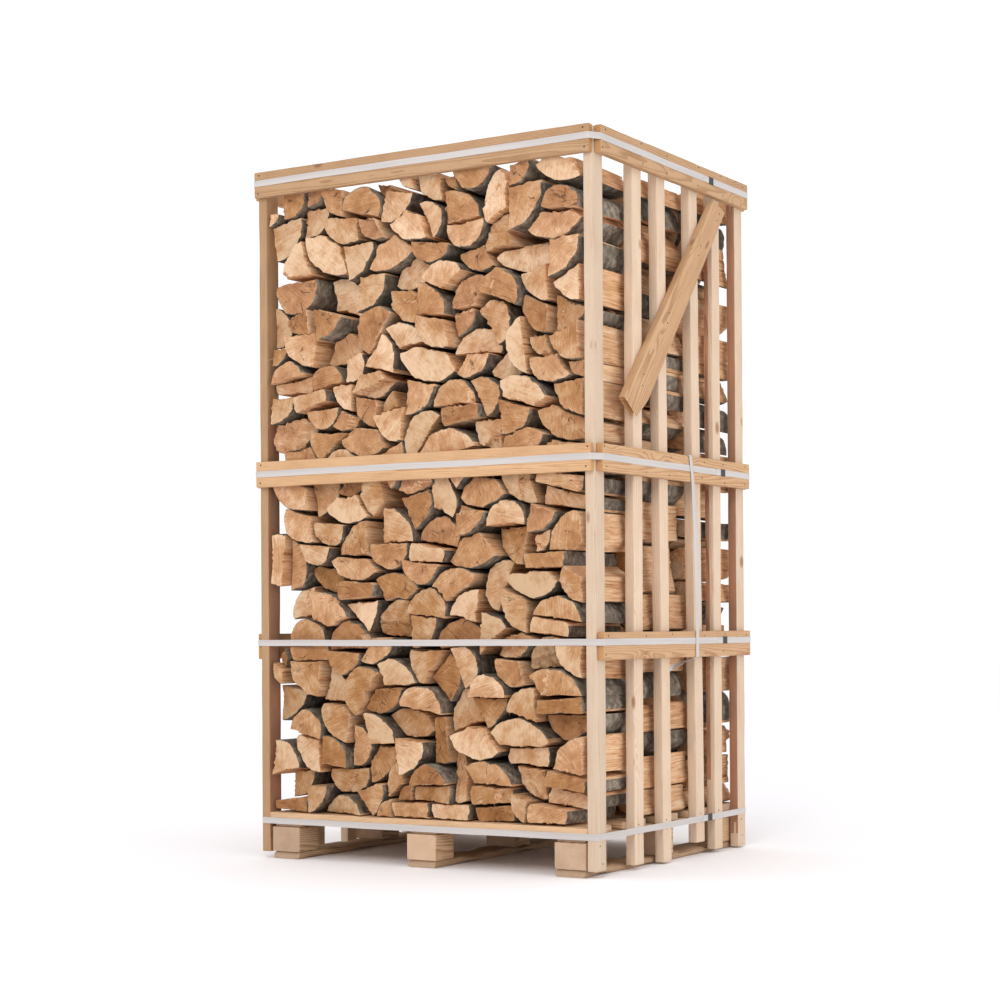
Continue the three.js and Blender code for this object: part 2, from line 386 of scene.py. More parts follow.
@dataclass(frozen=True)
class SawnPine(Finish):
    """Sawn softwood: growth rings cut lengthwise, small knots and fuzzy saw marks across the board."""

    name: str
    early: str
    late: str
    knot: str = "#8F6240"
    ring: float = 3.4 * MM
    contrast: float = 0.5
    saw_pitch: float = 4 * MM
    low: float = 0.78
    high: float = 1.05

    def relief(self, tree: bpy.types.NodeTree) -> tuple[Any, Any, float]:
        """Ring = distance from a pith line beside the board / ring width, bent by noise and knots.

        Args:
            tree: the material's node tree.

        Returns:
            The colour, the height pattern and that pattern's depth in metres.
        """
        add = partial(add_node, tree)
        wood = Timber.read(tree)
        lots = wood.lots
        along, across, through = add("SeparateXYZ", {0: wood.grain}).node.outputs
        knots = add("VectorMath", {0: wood.own, 1: (4.0, 11.0, 6.0)}, operation="MULTIPLY")
        knots = add("TexVoronoi", {"Vector": knots, "Scale": 1.0}, out="Distance")
        swell = {"Value": knots, "From Min": 0.05, "From Max": 0.32, "To Min": 1.0, "To Max": 0.0}
        near = add("MapRange", swell, interpolation_type="SMOOTHSTEP")
        core = {"Value": knots, "From Min": 0.05, "From Max": 0.1, "To Min": 0.8, "To Max": 0.0}
        inside = add("MapRange", core)
        bend = wood.noise((0.33, 42 * MM, 42 * MM), 2.0)
        sideways = add("Math", {0: lots[0], 1: 0.09, 2: across}, operation="MULTIPLY_ADD")
        drop = add("Math", {0: along, 1: 0.018, 2: through}, operation="MULTIPLY_ADD")
        drop = add("Math", {0: lots[1], 1: 0.06, 2: drop}, operation="MULTIPLY_ADD")
        flat = add("CombineXYZ", {"X": sideways, "Y": drop})
        rings = add("VectorMath", {0: flat}, out="Value", operation="LENGTH")
        rings = add("Math", {0: rings, 1: 1 / self.ring}, operation="MULTIPLY")
        rings = weighted(tree, rings, [(bend, 2.6), (near, 2.2)])
        rings = add("Math", {0: rings}, operation="FRACT")
        band = {"Value": rings, "From Min": 0.3, "From Max": 0.92, "To Max": self.contrast}
        late = add("MapRange", band, interpolation_type="SMOOTHSTEP")
        fibre = wood.noise((110 * MM, 2.6 * MM, 2.6 * MM))
        stain = wood.noise((0.14, 60 * MM, 60 * MM), 4.0)
        fuzz = wood.noise((5 * MM, 2.5 * MM, 2.5 * MM), 3.0)
        shade = weighted(tree, late, [(fibre, 0.9), (stain, 1.0), (fuzz, 0.5)])
        shade = add("Clamp", {"Value": shade})
        blend = {MIX_SHARE: shade, MIX_FIRST: linear(self.early), MIX_SECOND: linear(self.late)}
        colour = add("Mix", blend, data_type="RGBA")
        blend = {MIX_SHARE: inside, MIX_FIRST: colour, MIX_SECOND: linear(self.knot)}
        colour = add("Mix", blend, data_type="RGBA")
        colour = lot_level(tree, colour, lots[2], self.low, self.high)
        marks = wood.noise((self.saw_pitch, 60 * MM, 60 * MM), 2.0)
        return colour, weighted(tree, fibre, [(marks, 0.8), (fuzz, 0.6)]), 0.5 * MM


@dataclass(frozen=True)
class RolledPlastic(Finish):
    """Polypropylene strapping, rolled: white, faintly glossy, embossed with fine diamonds."""

    name: str = "polypropylene_strapping"
    shine = {"Roughness": 0.4, "IOR": 1.49}
    colour: str = "#C3BDBA"
    grime: str = "#AFA8A4"
    diamond: float = 1.6 * MM

    def relief(self, tree: bpy.types.NodeTree) -> tuple[Any, Any, float]:
        """Squares turned an eighth of a turn along the strap, and faint rubbed dirt.

        Args:
            tree: the material's node tree.

        Returns:
            The colour, the height pattern and that pattern's depth in metres.
        """
        add = partial(add_node, tree)
        wood = Timber.read(tree)
        dirt = wood.noise((0.4, 16 * MM, 16 * MM), 2.0)
        share = add("MapRange", {"Value": dirt, "From Min": 0.45, "From Max": 0.75, "To Max": 0.6})
        blend = {MIX_SHARE: share, MIX_FIRST: linear(self.colour), MIX_SECOND: linear(self.grime)}
        colour = add("Mix", blend, data_type="RGBA")
        turned = add(
            "VectorRotate", {"Vector": wood.grain, "Angle": math.pi / 4}, rotation_type="Z_AXIS"
        )
        checks = add(
            "TexVoronoi", {"Vector": turned, "Scale": 1 / self.diamond, "Randomness": 0.0},
            out="Distance", distance="CHEBYCHEV", voronoi_dimensions="2D",
        )
        return colour, checks, 0.15 * MM


@dataclass(frozen=True)
class DarkSteel(Finish):
    """Cold-rolled steel with a thin dark oxide, pressed into seals and nail heads."""

    name: str = "blackened_steel"
    shine = {"Roughness": 0.45, "Metallic": 0.85}
    dark: str = "#302D30"
    worn: str = "#625E60"
    rub: float = 4 * MM

    def relief(self, tree: bpy.types.NodeTree) -> tuple[Any, Any, float]:
        """Dark oxide, rubbed lighter in patches a few millimetres across.

        Args:
            tree: the material's node tree.

        Returns:
            The colour, the height pattern and that pattern's depth in metres.
        """
        add = partial(add_node, tree)
        rub = Timber.read(tree).noise((self.rub,) * 3, 4.0)
        colour = add("ValToRGB", {"Fac": rub}, stops=((0.4, self.dark), (0.72, self.worn)))
        return colour, rub, 0.2 * MM


BEECH = (BeechEndGrain(), BeechRivenFace(), BeechBark())
# Reddish-brown strips for a few uprights' faces: partly inner bark, partly painted shade on faces that lie
# in shadow.
BAST_AND_PAINTED_SHADE = SawnPine("pine_bast_and_painted_shade", early="#B58668", late="#8A5A42", contrast=0.6, saw_pitch=9 * MM)
RAIL_PINE = (
    SawnPine("rail_pine_sawn", early="#CFA67D", late="#A4764C", contrast=0.62, low=0.68),
    SawnPine("rail_pine_end", early="#CB9A66", late="#A06A40", contrast=0.8, ring=2.6 * MM),
    BAST_AND_PAINTED_SHADE,
)
SLAT_PINE = (
    SawnPine("slat_pine_sawn", early="#D8C1A9", late="#BC9673", contrast=0.42, low=0.86),
    SawnPine("slat_pine_end", early="#DDBB92", late="#B58A5F", contrast=0.7, ring=2.6 * MM),
    BAST_AND_PAINTED_SHADE,
)
PALLET_PINE = (
    SawnPine("pallet_pine_sawn", early="#D6B38E", late="#A0744E", contrast=0.75, low=0.72),
    SawnPine("pallet_pine_end", early="#DBBDA1", late="#A87C5A", contrast=0.9, ring=2.8 * MM, low=0.7),
    BAST_AND_PAINTED_SHADE,
)
STRAPPING = RolledPlastic()
STEEL = DarkSteel()


# ---- Meshes ----


@dataclass
class Shell:
    """Points and faces gathered for one piece, with the attributes that its materials read."""

    points: list[np.ndarray] = field(default_factory=list)
    loops: list[np.ndarray] = field(default_factory=list)
    totals: list[np.ndarray] = field(default_factory=list)
    finishes: list[np.ndarray] = field(default_factory=list)
    grains: list[np.ndarray] = field(default_factory=list)
    lots: list[np.ndarray] = field(default_factory=list)
    count: int = 0

    def points_in(
        self, points: np.ndarray, grain: np.ndarray | None = None, lot: Any = (0.5, 0.5, 0.5)
    ) -> int:
        """Adds points.

        Args:
            points: their places, in metres.
            grain: where each lies in the timber it was cut from, in metres.
            lot: three random numbers of that timber, or three for each point.

        Returns:
            The number of the first of them.
        """
        start = self.count
        flat = points.reshape(-1, 3)
        self.points.append(flat)
        self.grains.append(flat if grain is None else grain.reshape(-1, 3))
        self.lots.append(np.broadcast_to(np.asarray(lot, float), flat.shape))
        self.count += len(flat)
        return start

    def faces_in(self, faces: np.ndarray, finish: Any = 0) -> None:
        """Adds faces that all have the same number of corners.

        Args:
            faces: the points of each face, anticlockwise from outside.
            finish: the number of the finish, for all of them or for each.
        """
        self.loops.append(faces.ravel())
        self.totals.append(np.full(len(faces), faces.shape[1]))
        self.finishes.append(np.broadcast_to(np.asarray(finish), (len(faces),)))

    def piece(
        self,
        name: str,
        slot: str,
        finishes: Sequence[Finish],
        nodes: Sequence[str] = (),
        sharp: float = 34.0,
    ) -> bpy.types.Object:
        """Makes the object, parents it to the body that it rides on, and hides the CAD nodes that it
        replaces.

        Args:
            name: the piece's name.
            slot: not used.
            finishes: its materials, in the order that faces number them.
            nodes: the CAD nodes that it replaces.
            sharp: the angle in degrees past which an edge between faces is crisp.

        Returns:
            The finished object, at the origin.
        """
        points = np.concatenate(self.points).astype(np.float32)
        loops = np.concatenate(self.loops).astype(np.int32)
        totals = np.concatenate(self.totals).astype(np.int32)
        starts = np.concatenate([[0], np.cumsum(totals)[:-1]]).astype(np.int32)
        mesh = bpy.data.meshes.new(name)
        mesh.vertices.add(len(points))
        mesh.vertices.foreach_set("co", points.ravel())
        mesh.loops.add(len(loops))
        mesh.loops.foreach_set("vertex_index", loops)
        mesh.polygons.add(len(totals))
        mesh.polygons.foreach_set("loop_start", starts)
        mesh.polygons.foreach_set("loop_total", totals)
        mesh.polygons.foreach_set("material_index", np.concatenate(self.finishes).astype(np.int32))
        mesh.update(calc_edges=True)
        mesh.shade_smooth()
        mesh.set_sharp_from_angle(angle=math.radians(sharp))
        for label, parts in (("grain", self.grains), ("lot", self.lots)):
            data = np.concatenate(parts).astype(np.float32)
            attribute = mesh.attributes.new(label, "FLOAT_VECTOR", "POINT")
            attribute.data.foreach_set("vector", data.ravel())
        for finish in finishes:
            mesh.materials.append(finish.material())
        piece = bpy.data.objects.new(name, mesh)
        bpy.context.scene.collection.objects.link(piece)
        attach(piece, BODY)
        if nodes:
            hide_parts(*nodes)
        log.info("%s: %d faces", name, len(totals))
        return piece


def grid_faces(rows: int, columns: int, start: int = 0, closed: bool = True) -> np.ndarray:
    """Quads of a grid whose rows are rings of points.

    Args:
        rows: number of rings.
        columns: points on each ring.
        start: number of the grid's first point.
        closed: whether each ring's last point joins its first.

    Returns:
        Four point numbers for each quad: (row, column), (row + 1, column), (row + 1, column + 1)
        and (row, column + 1).
    """
    row = np.arange(rows - 1)[:, None] * columns + start
    here = np.arange(columns if closed else columns - 1)[None]
    there = (here + 1) % columns
    quads = np.stack([row + here, row + columns + here, row + columns + there, row + there], 2)
    return quads.reshape(-1, 4)


def drift(
    rng: np.random.Generator, place: np.ndarray, size: float, waves: float, terms: int = 4
) -> np.ndarray:
    """A smooth random line: the sum of size / term * cos(2 pi * frequency * place + phase).

    Args:
        rng: where the phases and frequencies come from.
        place: positions from 0 to 1.
        size: height of the first wave.
        waves: how many waves the first term has from 0 to 1.
        terms: how many waves are summed.

    Returns:
        One value for each place.
    """
    total = np.zeros_like(place, dtype=float)
    for term in range(1, terms + 1):
        frequency = waves * term * rng.uniform(0.7, 1.3)
        total += size / term * np.cos(FULL_TURN * (frequency * place + rng.uniform()))
    return total


# ---- Boards ----

PALLET_SEED, UPRIGHT_SEED, RAIL_SEED = 100, 200, 300


@dataclass
class Board:
    """A sawn board: a rectangle with eased corners carried from its foot to its head.

    The foot and the head are each four corners. Corner 0 is the origin of the section, corner 1 is across
    the width from it, corner 2 opposite and corner 3 across the thickness. Seen from the head looking back
    to the foot they run anticlockwise. across and through are how many points lie on a side between two
    corners. The reddish-brown strip of inner bark and painted shade is given as a side, the shares of the
    length between which it lies, and the share of the side that it covers; it is partly inner bark and
    partly painted shade on a face that lies in shadow. tone, from 0 to 1, is how pale the board is.
    """

    node: str
    slot: str
    foot: np.ndarray
    head: np.ndarray
    finishes: tuple[Finish, ...]
    seed: int
    arris: float = 1.8 * MM
    wane: float = 1.2 * MM
    bow: float = 0.8 * MM
    ease: float = 1.6 * MM
    end_wear: float = 1.1 * MM
    fuzz: float = 0.12 * MM
    fuzz_waves: float = 40.0
    fray: float = 0.005
    across: int = 5
    through: int = 2
    stations: int = 34
    bast_and_painted_shade: tuple[int, float, float, float] | None = None
    tone: float | None = None
    foot_shift: Callable[[np.ndarray, np.ndarray], np.ndarray] | None = None
    head_shift: Callable[[np.ndarray, np.ndarray], np.ndarray] | None = None

    def corner_start(self, index: int) -> int:
        """Returns the number of the section's first point on a corner."""
        between = (self.through, self.across, self.through, self.across)
        return 3 * index + sum(between[:index])

    def profile(self) -> tuple[np.ndarray, np.ndarray, np.ndarray]:
        """The section: a rectangle whose corners are quarter circles.

        Returns:
            Points (width share, thickness share), their outward directions, and how far each is a corner.
        """
        width = np.linalg.norm(self.foot[1] - self.foot[0])
        thick = np.linalg.norm(self.foot[3] - self.foot[0])
        turn = np.radians([0, 45, 90])
        points, out, corner = [], [], []
        sides = (
            ((1, 0), -math.pi / 2, (width, 0), self.through, (0, 1)),
            ((1, 1), 0.0, (width, thick), self.across, (-1, 0)),
            ((0, 1), math.pi / 2, (0, thick), self.through, (0, -1)),
            ((0, 0), math.pi, (0, 0), self.across, (1, 0)),
        )
        for (right, top), start, middle, count, step in sides:
            centre = np.array(middle) + self.arris * np.array([1 - 2 * right, 1 - 2 * top])
            direction = np.stack([np.cos(start + turn), np.sin(start + turn)], 1)
            points.append(centre + self.arris * direction)
            out.append(direction)
            corner.append([0.5, 1.0, 0.5])
            span = (thick if step[0] == 0 else width) - 2 * self.arris
            along = np.arange(1, count + 1)[:, None] / (count + 1) * span
            points.append(points[-1][-1] + along * np.array(step))
            out.append(np.repeat(direction[-1:], count, 0))
            corner.append([0.0] * count)
        points = np.concatenate(points) / (width, thick)
        return points, np.concatenate(out), np.concatenate(corner)

    def build(self) -> bpy.types.Object:
        """Carries the section from foot to head, with wane, bow and eased ends, and closes both ends."""
        rng = np.random.default_rng(self.seed)
        section, out, corner = self.profile()
        a, b = section[:, :1], section[:, 1:]
        ends = []
        for quad, shift in ((self.foot, self.foot_shift), (self.head, self.head_shift)):
            near = quad[0] * (1 - a) * (1 - b) + quad[1] * a * (1 - b)
            place = near + quad[2] * a * b + quad[3] * (1 - a) * b
            ends.append(place if shift is None else place + shift(a[:, 0], b[:, 0]))
        across = self.foot[1] - self.foot[0]
        through = self.foot[3] - self.foot[0]
        width, thick = np.linalg.norm(across), np.linalg.norm(through)
        across, through = across / width, through / thick
        length = np.linalg.norm(self.head.mean(0) - self.foot.mean(0))
        ease = self.ease / length
        middle = np.linspace(4 * ease, 1 - 4 * ease, self.stations)
        along = np.concatenate([[0, ease], middle, [1 - ease, 1]])
        rows, count = len(along), len(section)
        s = along[:, None, None]
        outward = out[:, :1] * across + out[:, 1:] * through
        grid = ends[0][None] * (1 - s) + ends[1][None] * s
        worn = np.zeros((rows, count))
        for index in range(4):
            begin = self.corner_start(index)
            lane = np.zeros(count)
            lane[begin : begin + 3] = corner[begin : begin + 3]
            loss = drift(rng, along, self.wane, 3.0) - 0.2 * self.wane
            worn -= np.clip(loss, 0, None)[:, None] * lane
        wave = rng.uniform(0, self.fuzz_waves, (1, count)) * along[:, None]
        fuzz = self.fuzz * np.cos(wave + rng.uniform(0, FULL_TURN, (1, count)))
        shrink = np.zeros(rows)
        shrink[[0, -1]] = self.end_wear
        grid = grid + ((worn + fuzz - self.fuzz) - shrink[:, None])[..., None] * outward
        arc = 4 * along * (1 - along)
        grid = grid + (drift(rng, along, self.bow * 0.3, 1.0, 2) * arc)[:, None, None] * through
        grain = np.stack(
            [
                np.broadcast_to(along[:, None] * length, (rows, count)),
                np.broadcast_to((section[:, 0] - 0.5) * width, (rows, count)),
                np.broadcast_to((section[:, 1] - 0.5) * thick, (rows, count)),
            ],
            2,
        )  # metres along, across and through the board
        lot = rng.uniform(0, 1, 3)
        lot[2] = 0.45 + 0.55 * lot[2] if self.tone is None else self.tone
        shell = Shell()
        start = shell.points_in(grid, grain, lot)
        finish = np.zeros((rows - 1, count), int)
        # Faces inside the strip take finish 2, reddish brown: partly inner bark, partly painted shade on a
        # face in shadow.
        if self.bast_and_painted_shade:
            side, low, high, part = self.bast_and_painted_shade
            begin = self.corner_start(side) + 2
            lane = np.arange(begin, begin + (self.across if side % 2 else self.through) + 1)
            lane = lane[: max(1, round(part * len(lane)))]
            edge = along[:-1, None] + self.fray * rng.normal(size=(1, len(lane)))
            finish[:, lane] = np.where((edge >= low) & (edge <= high), 2, 0)
        shell.faces_in(grid_faces(rows, count, start)[:, ::-1], finish.ravel())
        for row, way in ((0, 1), (rows - 1, -1)):
            rim = start + row * count + np.arange(count)
            hub = grid[row].mean(0), grain[row].mean(0)
            ring = [middle + 0.55 * (part[row] - middle) for middle, part in zip(hub, (grid, grain))]
            ring = shell.points_in(*ring, lot) + np.arange(count)
            centre = shell.points_in(hub[0][None], hub[1][None], lot)
            quads = np.stack([rim, ring, np.roll(ring, -1), np.roll(rim, -1)], 1)
            wedges = np.stack([ring, np.full(count, centre), np.roll(ring, -1)], 1)
            shell.faces_in(quads[:, ::way], 1)
            shell.faces_in(wedges[:, ::way], 1)
        return shell.piece(f"sawn_{self.node}", self.slot, self.finishes, [self.node], sharp=50.0)


class Run(Enum):
    """Which way a board's length runs: the axes of its width, thickness and length."""

    ALONG_X = (1, 2, 0)
    ALONG_Y = (2, 0, 1)
    ALONG_Z = (0, 1, 2)


def box_ends(node: str, run: Run) -> tuple[np.ndarray, np.ndarray]:
    """The foot and head corners of a square-sawn board.

    Args:
        node: the CAD node whose box it fills.
        run: which way its length runs.

    Returns:
        Four corners at its lowest end and four at its highest.
    """
    low, high = (np.array(corner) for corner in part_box(node))
    wide, thick, long = run.value
    corners = np.zeros((4, 3))
    for index, (right, top) in enumerate(((0, 0), (1, 0), (1, 1), (0, 1))):
        corners[index, wide] = (low, high)[right][wide]
        corners[index, thick] = (low, high)[top][thick]
    foot, head = corners.copy(), corners.copy()
    foot[:, long], head[:, long] = low[long], high[long]
    return foot, head


@dataclass
class Pallet:
    """Skids, blocks and stringers in three columns, with deck boards across them.

    The skids are rough: rounder and browner than the rest. odd_blocks says how two blocks that show differ.
    """

    columns: tuple[str, ...] = ("left", "middle", "right")
    block_rows: tuple[str, ...] = ("front", "middle", "back")
    deck_boards: int = 5
    nose: float = 9 * MM
    nose_height: float = 9 * MM
    skid_height: float = 21.7 * MM
    finishes: tuple[Finish, ...] = PALLET_PINE
    odd_blocks: dict[str, dict[str, float]] = field(
        default_factory=lambda: {
            "block_left_front": {"wane": 6 * MM, "tone": 0.15, "arris": 4 * MM},
            "block_right_front": {"wane": 2.5 * MM, "tone": 0.4},
        }
    )

    def nose_shift(self, sign: float) -> Callable[[np.ndarray, np.ndarray], np.ndarray]:
        """A skid's end slopes back above its nose height.

        Args:
            sign: 1 at the front end, -1 at the back.

        Returns:
            A function from the section's shares to the shift of the end face.
        """
        def shift(a: np.ndarray, b: np.ndarray) -> np.ndarray:
            """Shift = nose * (height - nose height) / (top - nose height), above the nose height."""
            rise = (a * self.skid_height - self.nose_height) / (self.skid_height - self.nose_height)
            rise = np.clip(rise, 0, 1)
            return np.stack([0 * rise, sign * self.nose * rise, 0 * rise], 1)

        return shift

    def build(self) -> None:
        """Builds the pallet's twenty boards and blocks."""
        noses = {"foot_shift": self.nose_shift(1), "head_shift": self.nose_shift(-1)}
        skid = {**noses, "across": 6, "wane": 9 * MM, "arris": 6 * MM, "tone": 0.0}
        block = {"stations": 10, "through": 5, "wane": 1.6 * MM}
        stringer = {"wane": 2.0 * MM, "through": 5, "across": 2}
        deck = {"wane": 2.0 * MM, "across": 7}
        plan: list[tuple[str, Run, dict[str, Any]]] = []
        for column in self.columns:
            plan.append((f"skid_{column}", Run.ALONG_Y, skid))
            for row in self.block_rows:
                node = f"block_{column}_{row}"
                plan.append((node, Run.ALONG_Y, {**block, **self.odd_blocks.get(node, {})}))
            plan.append((f"stringer_{column}", Run.ALONG_Y, stringer))
        plan += [(f"deck_board_{index + 1}", Run.ALONG_X, deck) for index in range(self.deck_boards)]
        for seed, (node, run, extra) in enumerate(plan, PALLET_SEED):
            foot, head = box_ends(node, run)
            Board(node, "pallet_pine", foot, head, self.finishes, seed, **extra).build()


@dataclass
class Uprights:
    """Corner posts and slats of both sides, which stand a little out of true.

    Each has its front edge's place at the foot and at the head, and its width, in metres. The strips of
    inner bark and painted shade say which of them get reddish-brown strips: partly inner bark, partly
    painted shade on faces that lie in shadow, such as the front left post's inner face and the back right
    post's front face. tones say which are darker than the rest, and the front left post takes the rails'
    yellower colours.
    """

    names: tuple[str, ...] = ("post_front", "slat_1", "slat_2", "slat_3", "slat_4", "post_back")
    foot_y: tuple[float, ...] = (-0.500, -0.267, -0.083, 0.144, 0.275, 0.445)
    head_y: tuple[float, ...] = (-0.500, -0.258, -0.103, 0.116, 0.277, 0.445)
    width: tuple[float, ...] = (0.060, 0.057, 0.055, 0.055, 0.054, 0.055)
    finishes: tuple[Finish, ...] = SLAT_PINE
    # Strips of finish 2: partly inner bark, partly painted shade, as on the front left post's inner face
    # and the back right post's front face.
    bast_and_painted_shade: tuple[tuple[str, tuple[int, float, float, float]], ...] = (
        ("post_back_right", (3, 0.02, 1.1, 1.0)),
        ("post_front_left", (0, 0.03, 0.63, 1.0)),
        ("slat_4_right", (3, 0.1, 0.96, 0.5)),
        ("slat_2_left", (3, 0.2, 0.9, 0.5)),
        ("post_back_left", (1, 0.1, 0.7, 1.0)),
    )
    tones: tuple[tuple[str, float], ...] = (("post_front_left", 0.12), ("post_front_right", 0.12))
    # The front left post is darker: it takes the rails' yellower colours.
    rail_coloured: tuple[str, ...] = ("post_front_left",)

    def middle_at(self, index: int, height: float) -> float:
        """The middle of an upright, on the line from its foot to its head.

        Args:
            index: which upright, from the front.
            height: how far above the floor.

        Returns:
            Its y.
        """
        low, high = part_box(f"{self.names[index]}_right")
        share = (height - low.z) / (high.z - low.z)
        edge = self.foot_y[index] + (self.head_y[index] - self.foot_y[index]) * share
        return edge + self.width[index] / 2

    def build(self) -> None:
        """Builds six uprights on each side."""
        seed = UPRIGHT_SEED
        for side in ("left", "right"):
            for index, label in enumerate(self.names):
                node = f"{label}_{side}"
                low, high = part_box(node)
                quads = []
                for near, z in ((self.foot_y[index], low.z), (self.head_y[index], high.z)):
                    far = near + self.width[index]
                    around = ((low.x, near), (high.x, near), (high.x, far), (low.x, far))
                    quads.append(np.array([[x, y, z] for x, y in around]))
                finishes = RAIL_PINE if node in self.rail_coloured else self.finishes
                Board(
                    node, "slat_pine", quads[0], quads[1], finishes, seed,
                    across=3, through=5, stations=60, bow=1.2 * MM,
                    bast_and_painted_shade=dict(self.bast_and_painted_shade).get(node), tone=dict(self.tones).get(node),
                ).build()
                seed += 1


@dataclass
class Rails:
    """Rails round the crate and the diagonal brace of each side.

    The brace's corners are given by y and z, at its foot and at its head.
    """

    finishes: tuple[Finish, ...] = RAIL_PINE
    brace_low: tuple[float, float] = (-0.355, 1.385)
    brace_low_front: tuple[float, float] = (-0.205, 1.388)
    brace_high: tuple[float, float] = (0.246, 2.056)
    brace_high_back: tuple[float, float] = (0.331, 2.034)
    brace_point_drop: float = 53 * MM
    tones: tuple[tuple[str, float], ...] = (
        ("rail_upper_front", 0.15),
        ("rail_upper_right", 0.4),
        ("brace_right", 0.55),
        ("rail_middle_front", 0.95),
    )

    def brace_shift(self, a: np.ndarray, b: np.ndarray) -> np.ndarray:
        """The brace's foot is cut to a blunt point: drop = point drop * (1 - |2 b - 1|)."""
        drop = self.brace_point_drop * (1 - np.abs(2 * b - 1))
        return np.stack([0 * drop, 0 * drop, -drop], 1)

    def build(self) -> None:
        """Builds the ten rails and two braces."""
        levels, sides, ends = ("upper", "middle", "lower"), ("left", "right"), ("front", "back")
        plan = [(f"rail_{level}_{side}", Run.ALONG_Y) for level in levels for side in sides]
        plan += [(f"rail_{level}_{end}", Run.ALONG_X) for level in levels[:2] for end in ends]
        tones = dict(self.tones)
        for seed, (node, run) in enumerate(plan, RAIL_SEED):
            foot, head = box_ends(node, run)
            across, through = (6, 2) if run is Run.ALONG_Y else (2, 6)
            Board(
                node, "rail_pine", foot, head, self.finishes, seed,
                stations=44, across=across, through=through, tone=tones.get(node),
            ).build()
        foot = self.brace_low_front, self.brace_low
        head = self.brace_high_back, self.brace_high
        for seed, side in enumerate(sides, RAIL_SEED + len(plan)):
            node = f"brace_{side}"
            low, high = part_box(node)
            quads = [
                np.array([[low.x, *far], [high.x, *far], [high.x, *near], [low.x, *near]])
                for near, far in (foot, head)
            ]
            Board(
                node, "rail_pine", quads[0], quads[1], self.finishes, seed,
                across=2, through=7, stations=40, foot_shift=self.brace_shift, tone=tones.get(node),
            ).build()


# ---- Nails ----


@dataclass
class Nails:
    """Low domed nail heads, driven just proud of the boards."""

    uprights: Uprights
    head: float = 2.7 * MM
    proud: float = 0.5 * MM
    sunk: float = 0.8 * MM
    sides: int = 10
    seed: int = 41
    rail_pair: tuple[float, float] = (-0.027, 0.029)  # above and below a rail's middle
    rail_end: float = 0.585
    post_foot: tuple[float, float] = (0.040, 0.092)
    slat_foot: tuple[float, float] = (0.108, 0.134)
    brace: tuple[tuple[float, float], ...] = (
        (-0.244, 1.428), (-0.232, 1.462), (-0.078, 1.632), (-0.066, 1.664),
        (0.138, 1.868), (0.152, 1.9), (0.27, 1.998), (0.288, 2.022),
    )

    def places(self) -> tuple[np.ndarray, np.ndarray]:
        """Where the nails are.

        Returns:
            Their places on the boards' faces, and the faces' outward directions.
        """
        rng = np.random.default_rng(self.seed)
        at: list[tuple[float, float, float]] = []
        out: list[tuple[float, float, float]] = []
        middle_at = self.uprights.middle_at
        count = len(self.uprights.names)
        for side, sign in (("left", -1), ("right", 1)):
            wall = int(sign > 0)
            for level in ("upper", "middle", "lower"):
                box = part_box(f"rail_{level}_{side}")
                middle = (box[0].z + box[1].z) / 2
                for index in range(count):
                    y = middle_at(index, middle)
                    for offset in self.rail_pair:
                        across = y + rng.uniform(-12 * MM, 12 * MM)
                        at.append((box[wall].x, across, middle + offset + rng.uniform(-4 * MM, 4 * MM)))
            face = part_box(f"post_front_{side}")[wall].x
            for index in range(count):
                for height in self.post_foot if index in (0, count - 1) else self.slat_foot:
                    at.append((face, middle_at(index, height) + rng.uniform(-10 * MM, 10 * MM), height))
            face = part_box(f"brace_{side}")[wall].x
            at += [(face, y, z) for y, z in self.brace]
            out += [(sign, 0, 0)] * (len(at) - len(out))
        for end, sign in (("front", -1), ("back", 1)):
            for level in ("upper", "middle"):
                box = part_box(f"rail_{level}_{end}")
                middle = (box[0].z + box[1].z) / 2
                for x in (-self.rail_end, self.rail_end):
                    for offset in self.rail_pair:
                        along = x + rng.uniform(-6 * MM, 6 * MM)
                        at.append((along, box[int(sign > 0)].y, middle + offset))
            out += [(0, sign, 0)] * (len(at) - len(out))
        return np.array(at), np.array(out, float)

    def build(self) -> None:
        """Puts one dome, height = proud * cos(share * quarter turn), at each place."""
        at, out = self.places()
        count = len(at)
        up = np.array([0.0, 0.0, 1.0])
        side = np.cross(up, out)
        turn = np.linspace(0, FULL_TURN, self.sides, endpoint=False)
        shares = np.array([1.0, 0.96, 0.6])
        lift = np.array([-self.sunk, 0.55 * self.proud, 0.95 * self.proud])
        share = shares[None, :, None, None]
        ring = (
            side[:, None, None] * np.cos(turn)[None, None, :, None] * share * self.head
            + up * np.sin(turn)[None, None, :, None] * share * self.head
            + out[:, None, None] * lift[None, :, None, None]
            + at[:, None, None]
        )
        shell = Shell()
        start = shell.points_in(ring)
        tops = shell.points_in(at + out * self.proud) + np.arange(count)
        base = start + np.arange(count)[:, None, None] * (3 * self.sides)
        shell.faces_in((grid_faces(3, self.sides)[None] + base)[..., ::-1].reshape(-1, 4), 0)
        last = base[:, :, 0] + 2 * self.sides + np.arange(self.sides)
        wedges = np.stack([last, np.roll(last, -1, 1), np.repeat(tops[:, None], self.sides, 1)], 2)
        shell.faces_in(wedges.reshape(-1, 3), 0)
        shell.faces_in((base[:, :, 0] + np.arange(self.sides))[:, ::-1], 0)
        shell.piece("nail_heads", "seal_steel", [STEEL])


# ---- Strapping ----


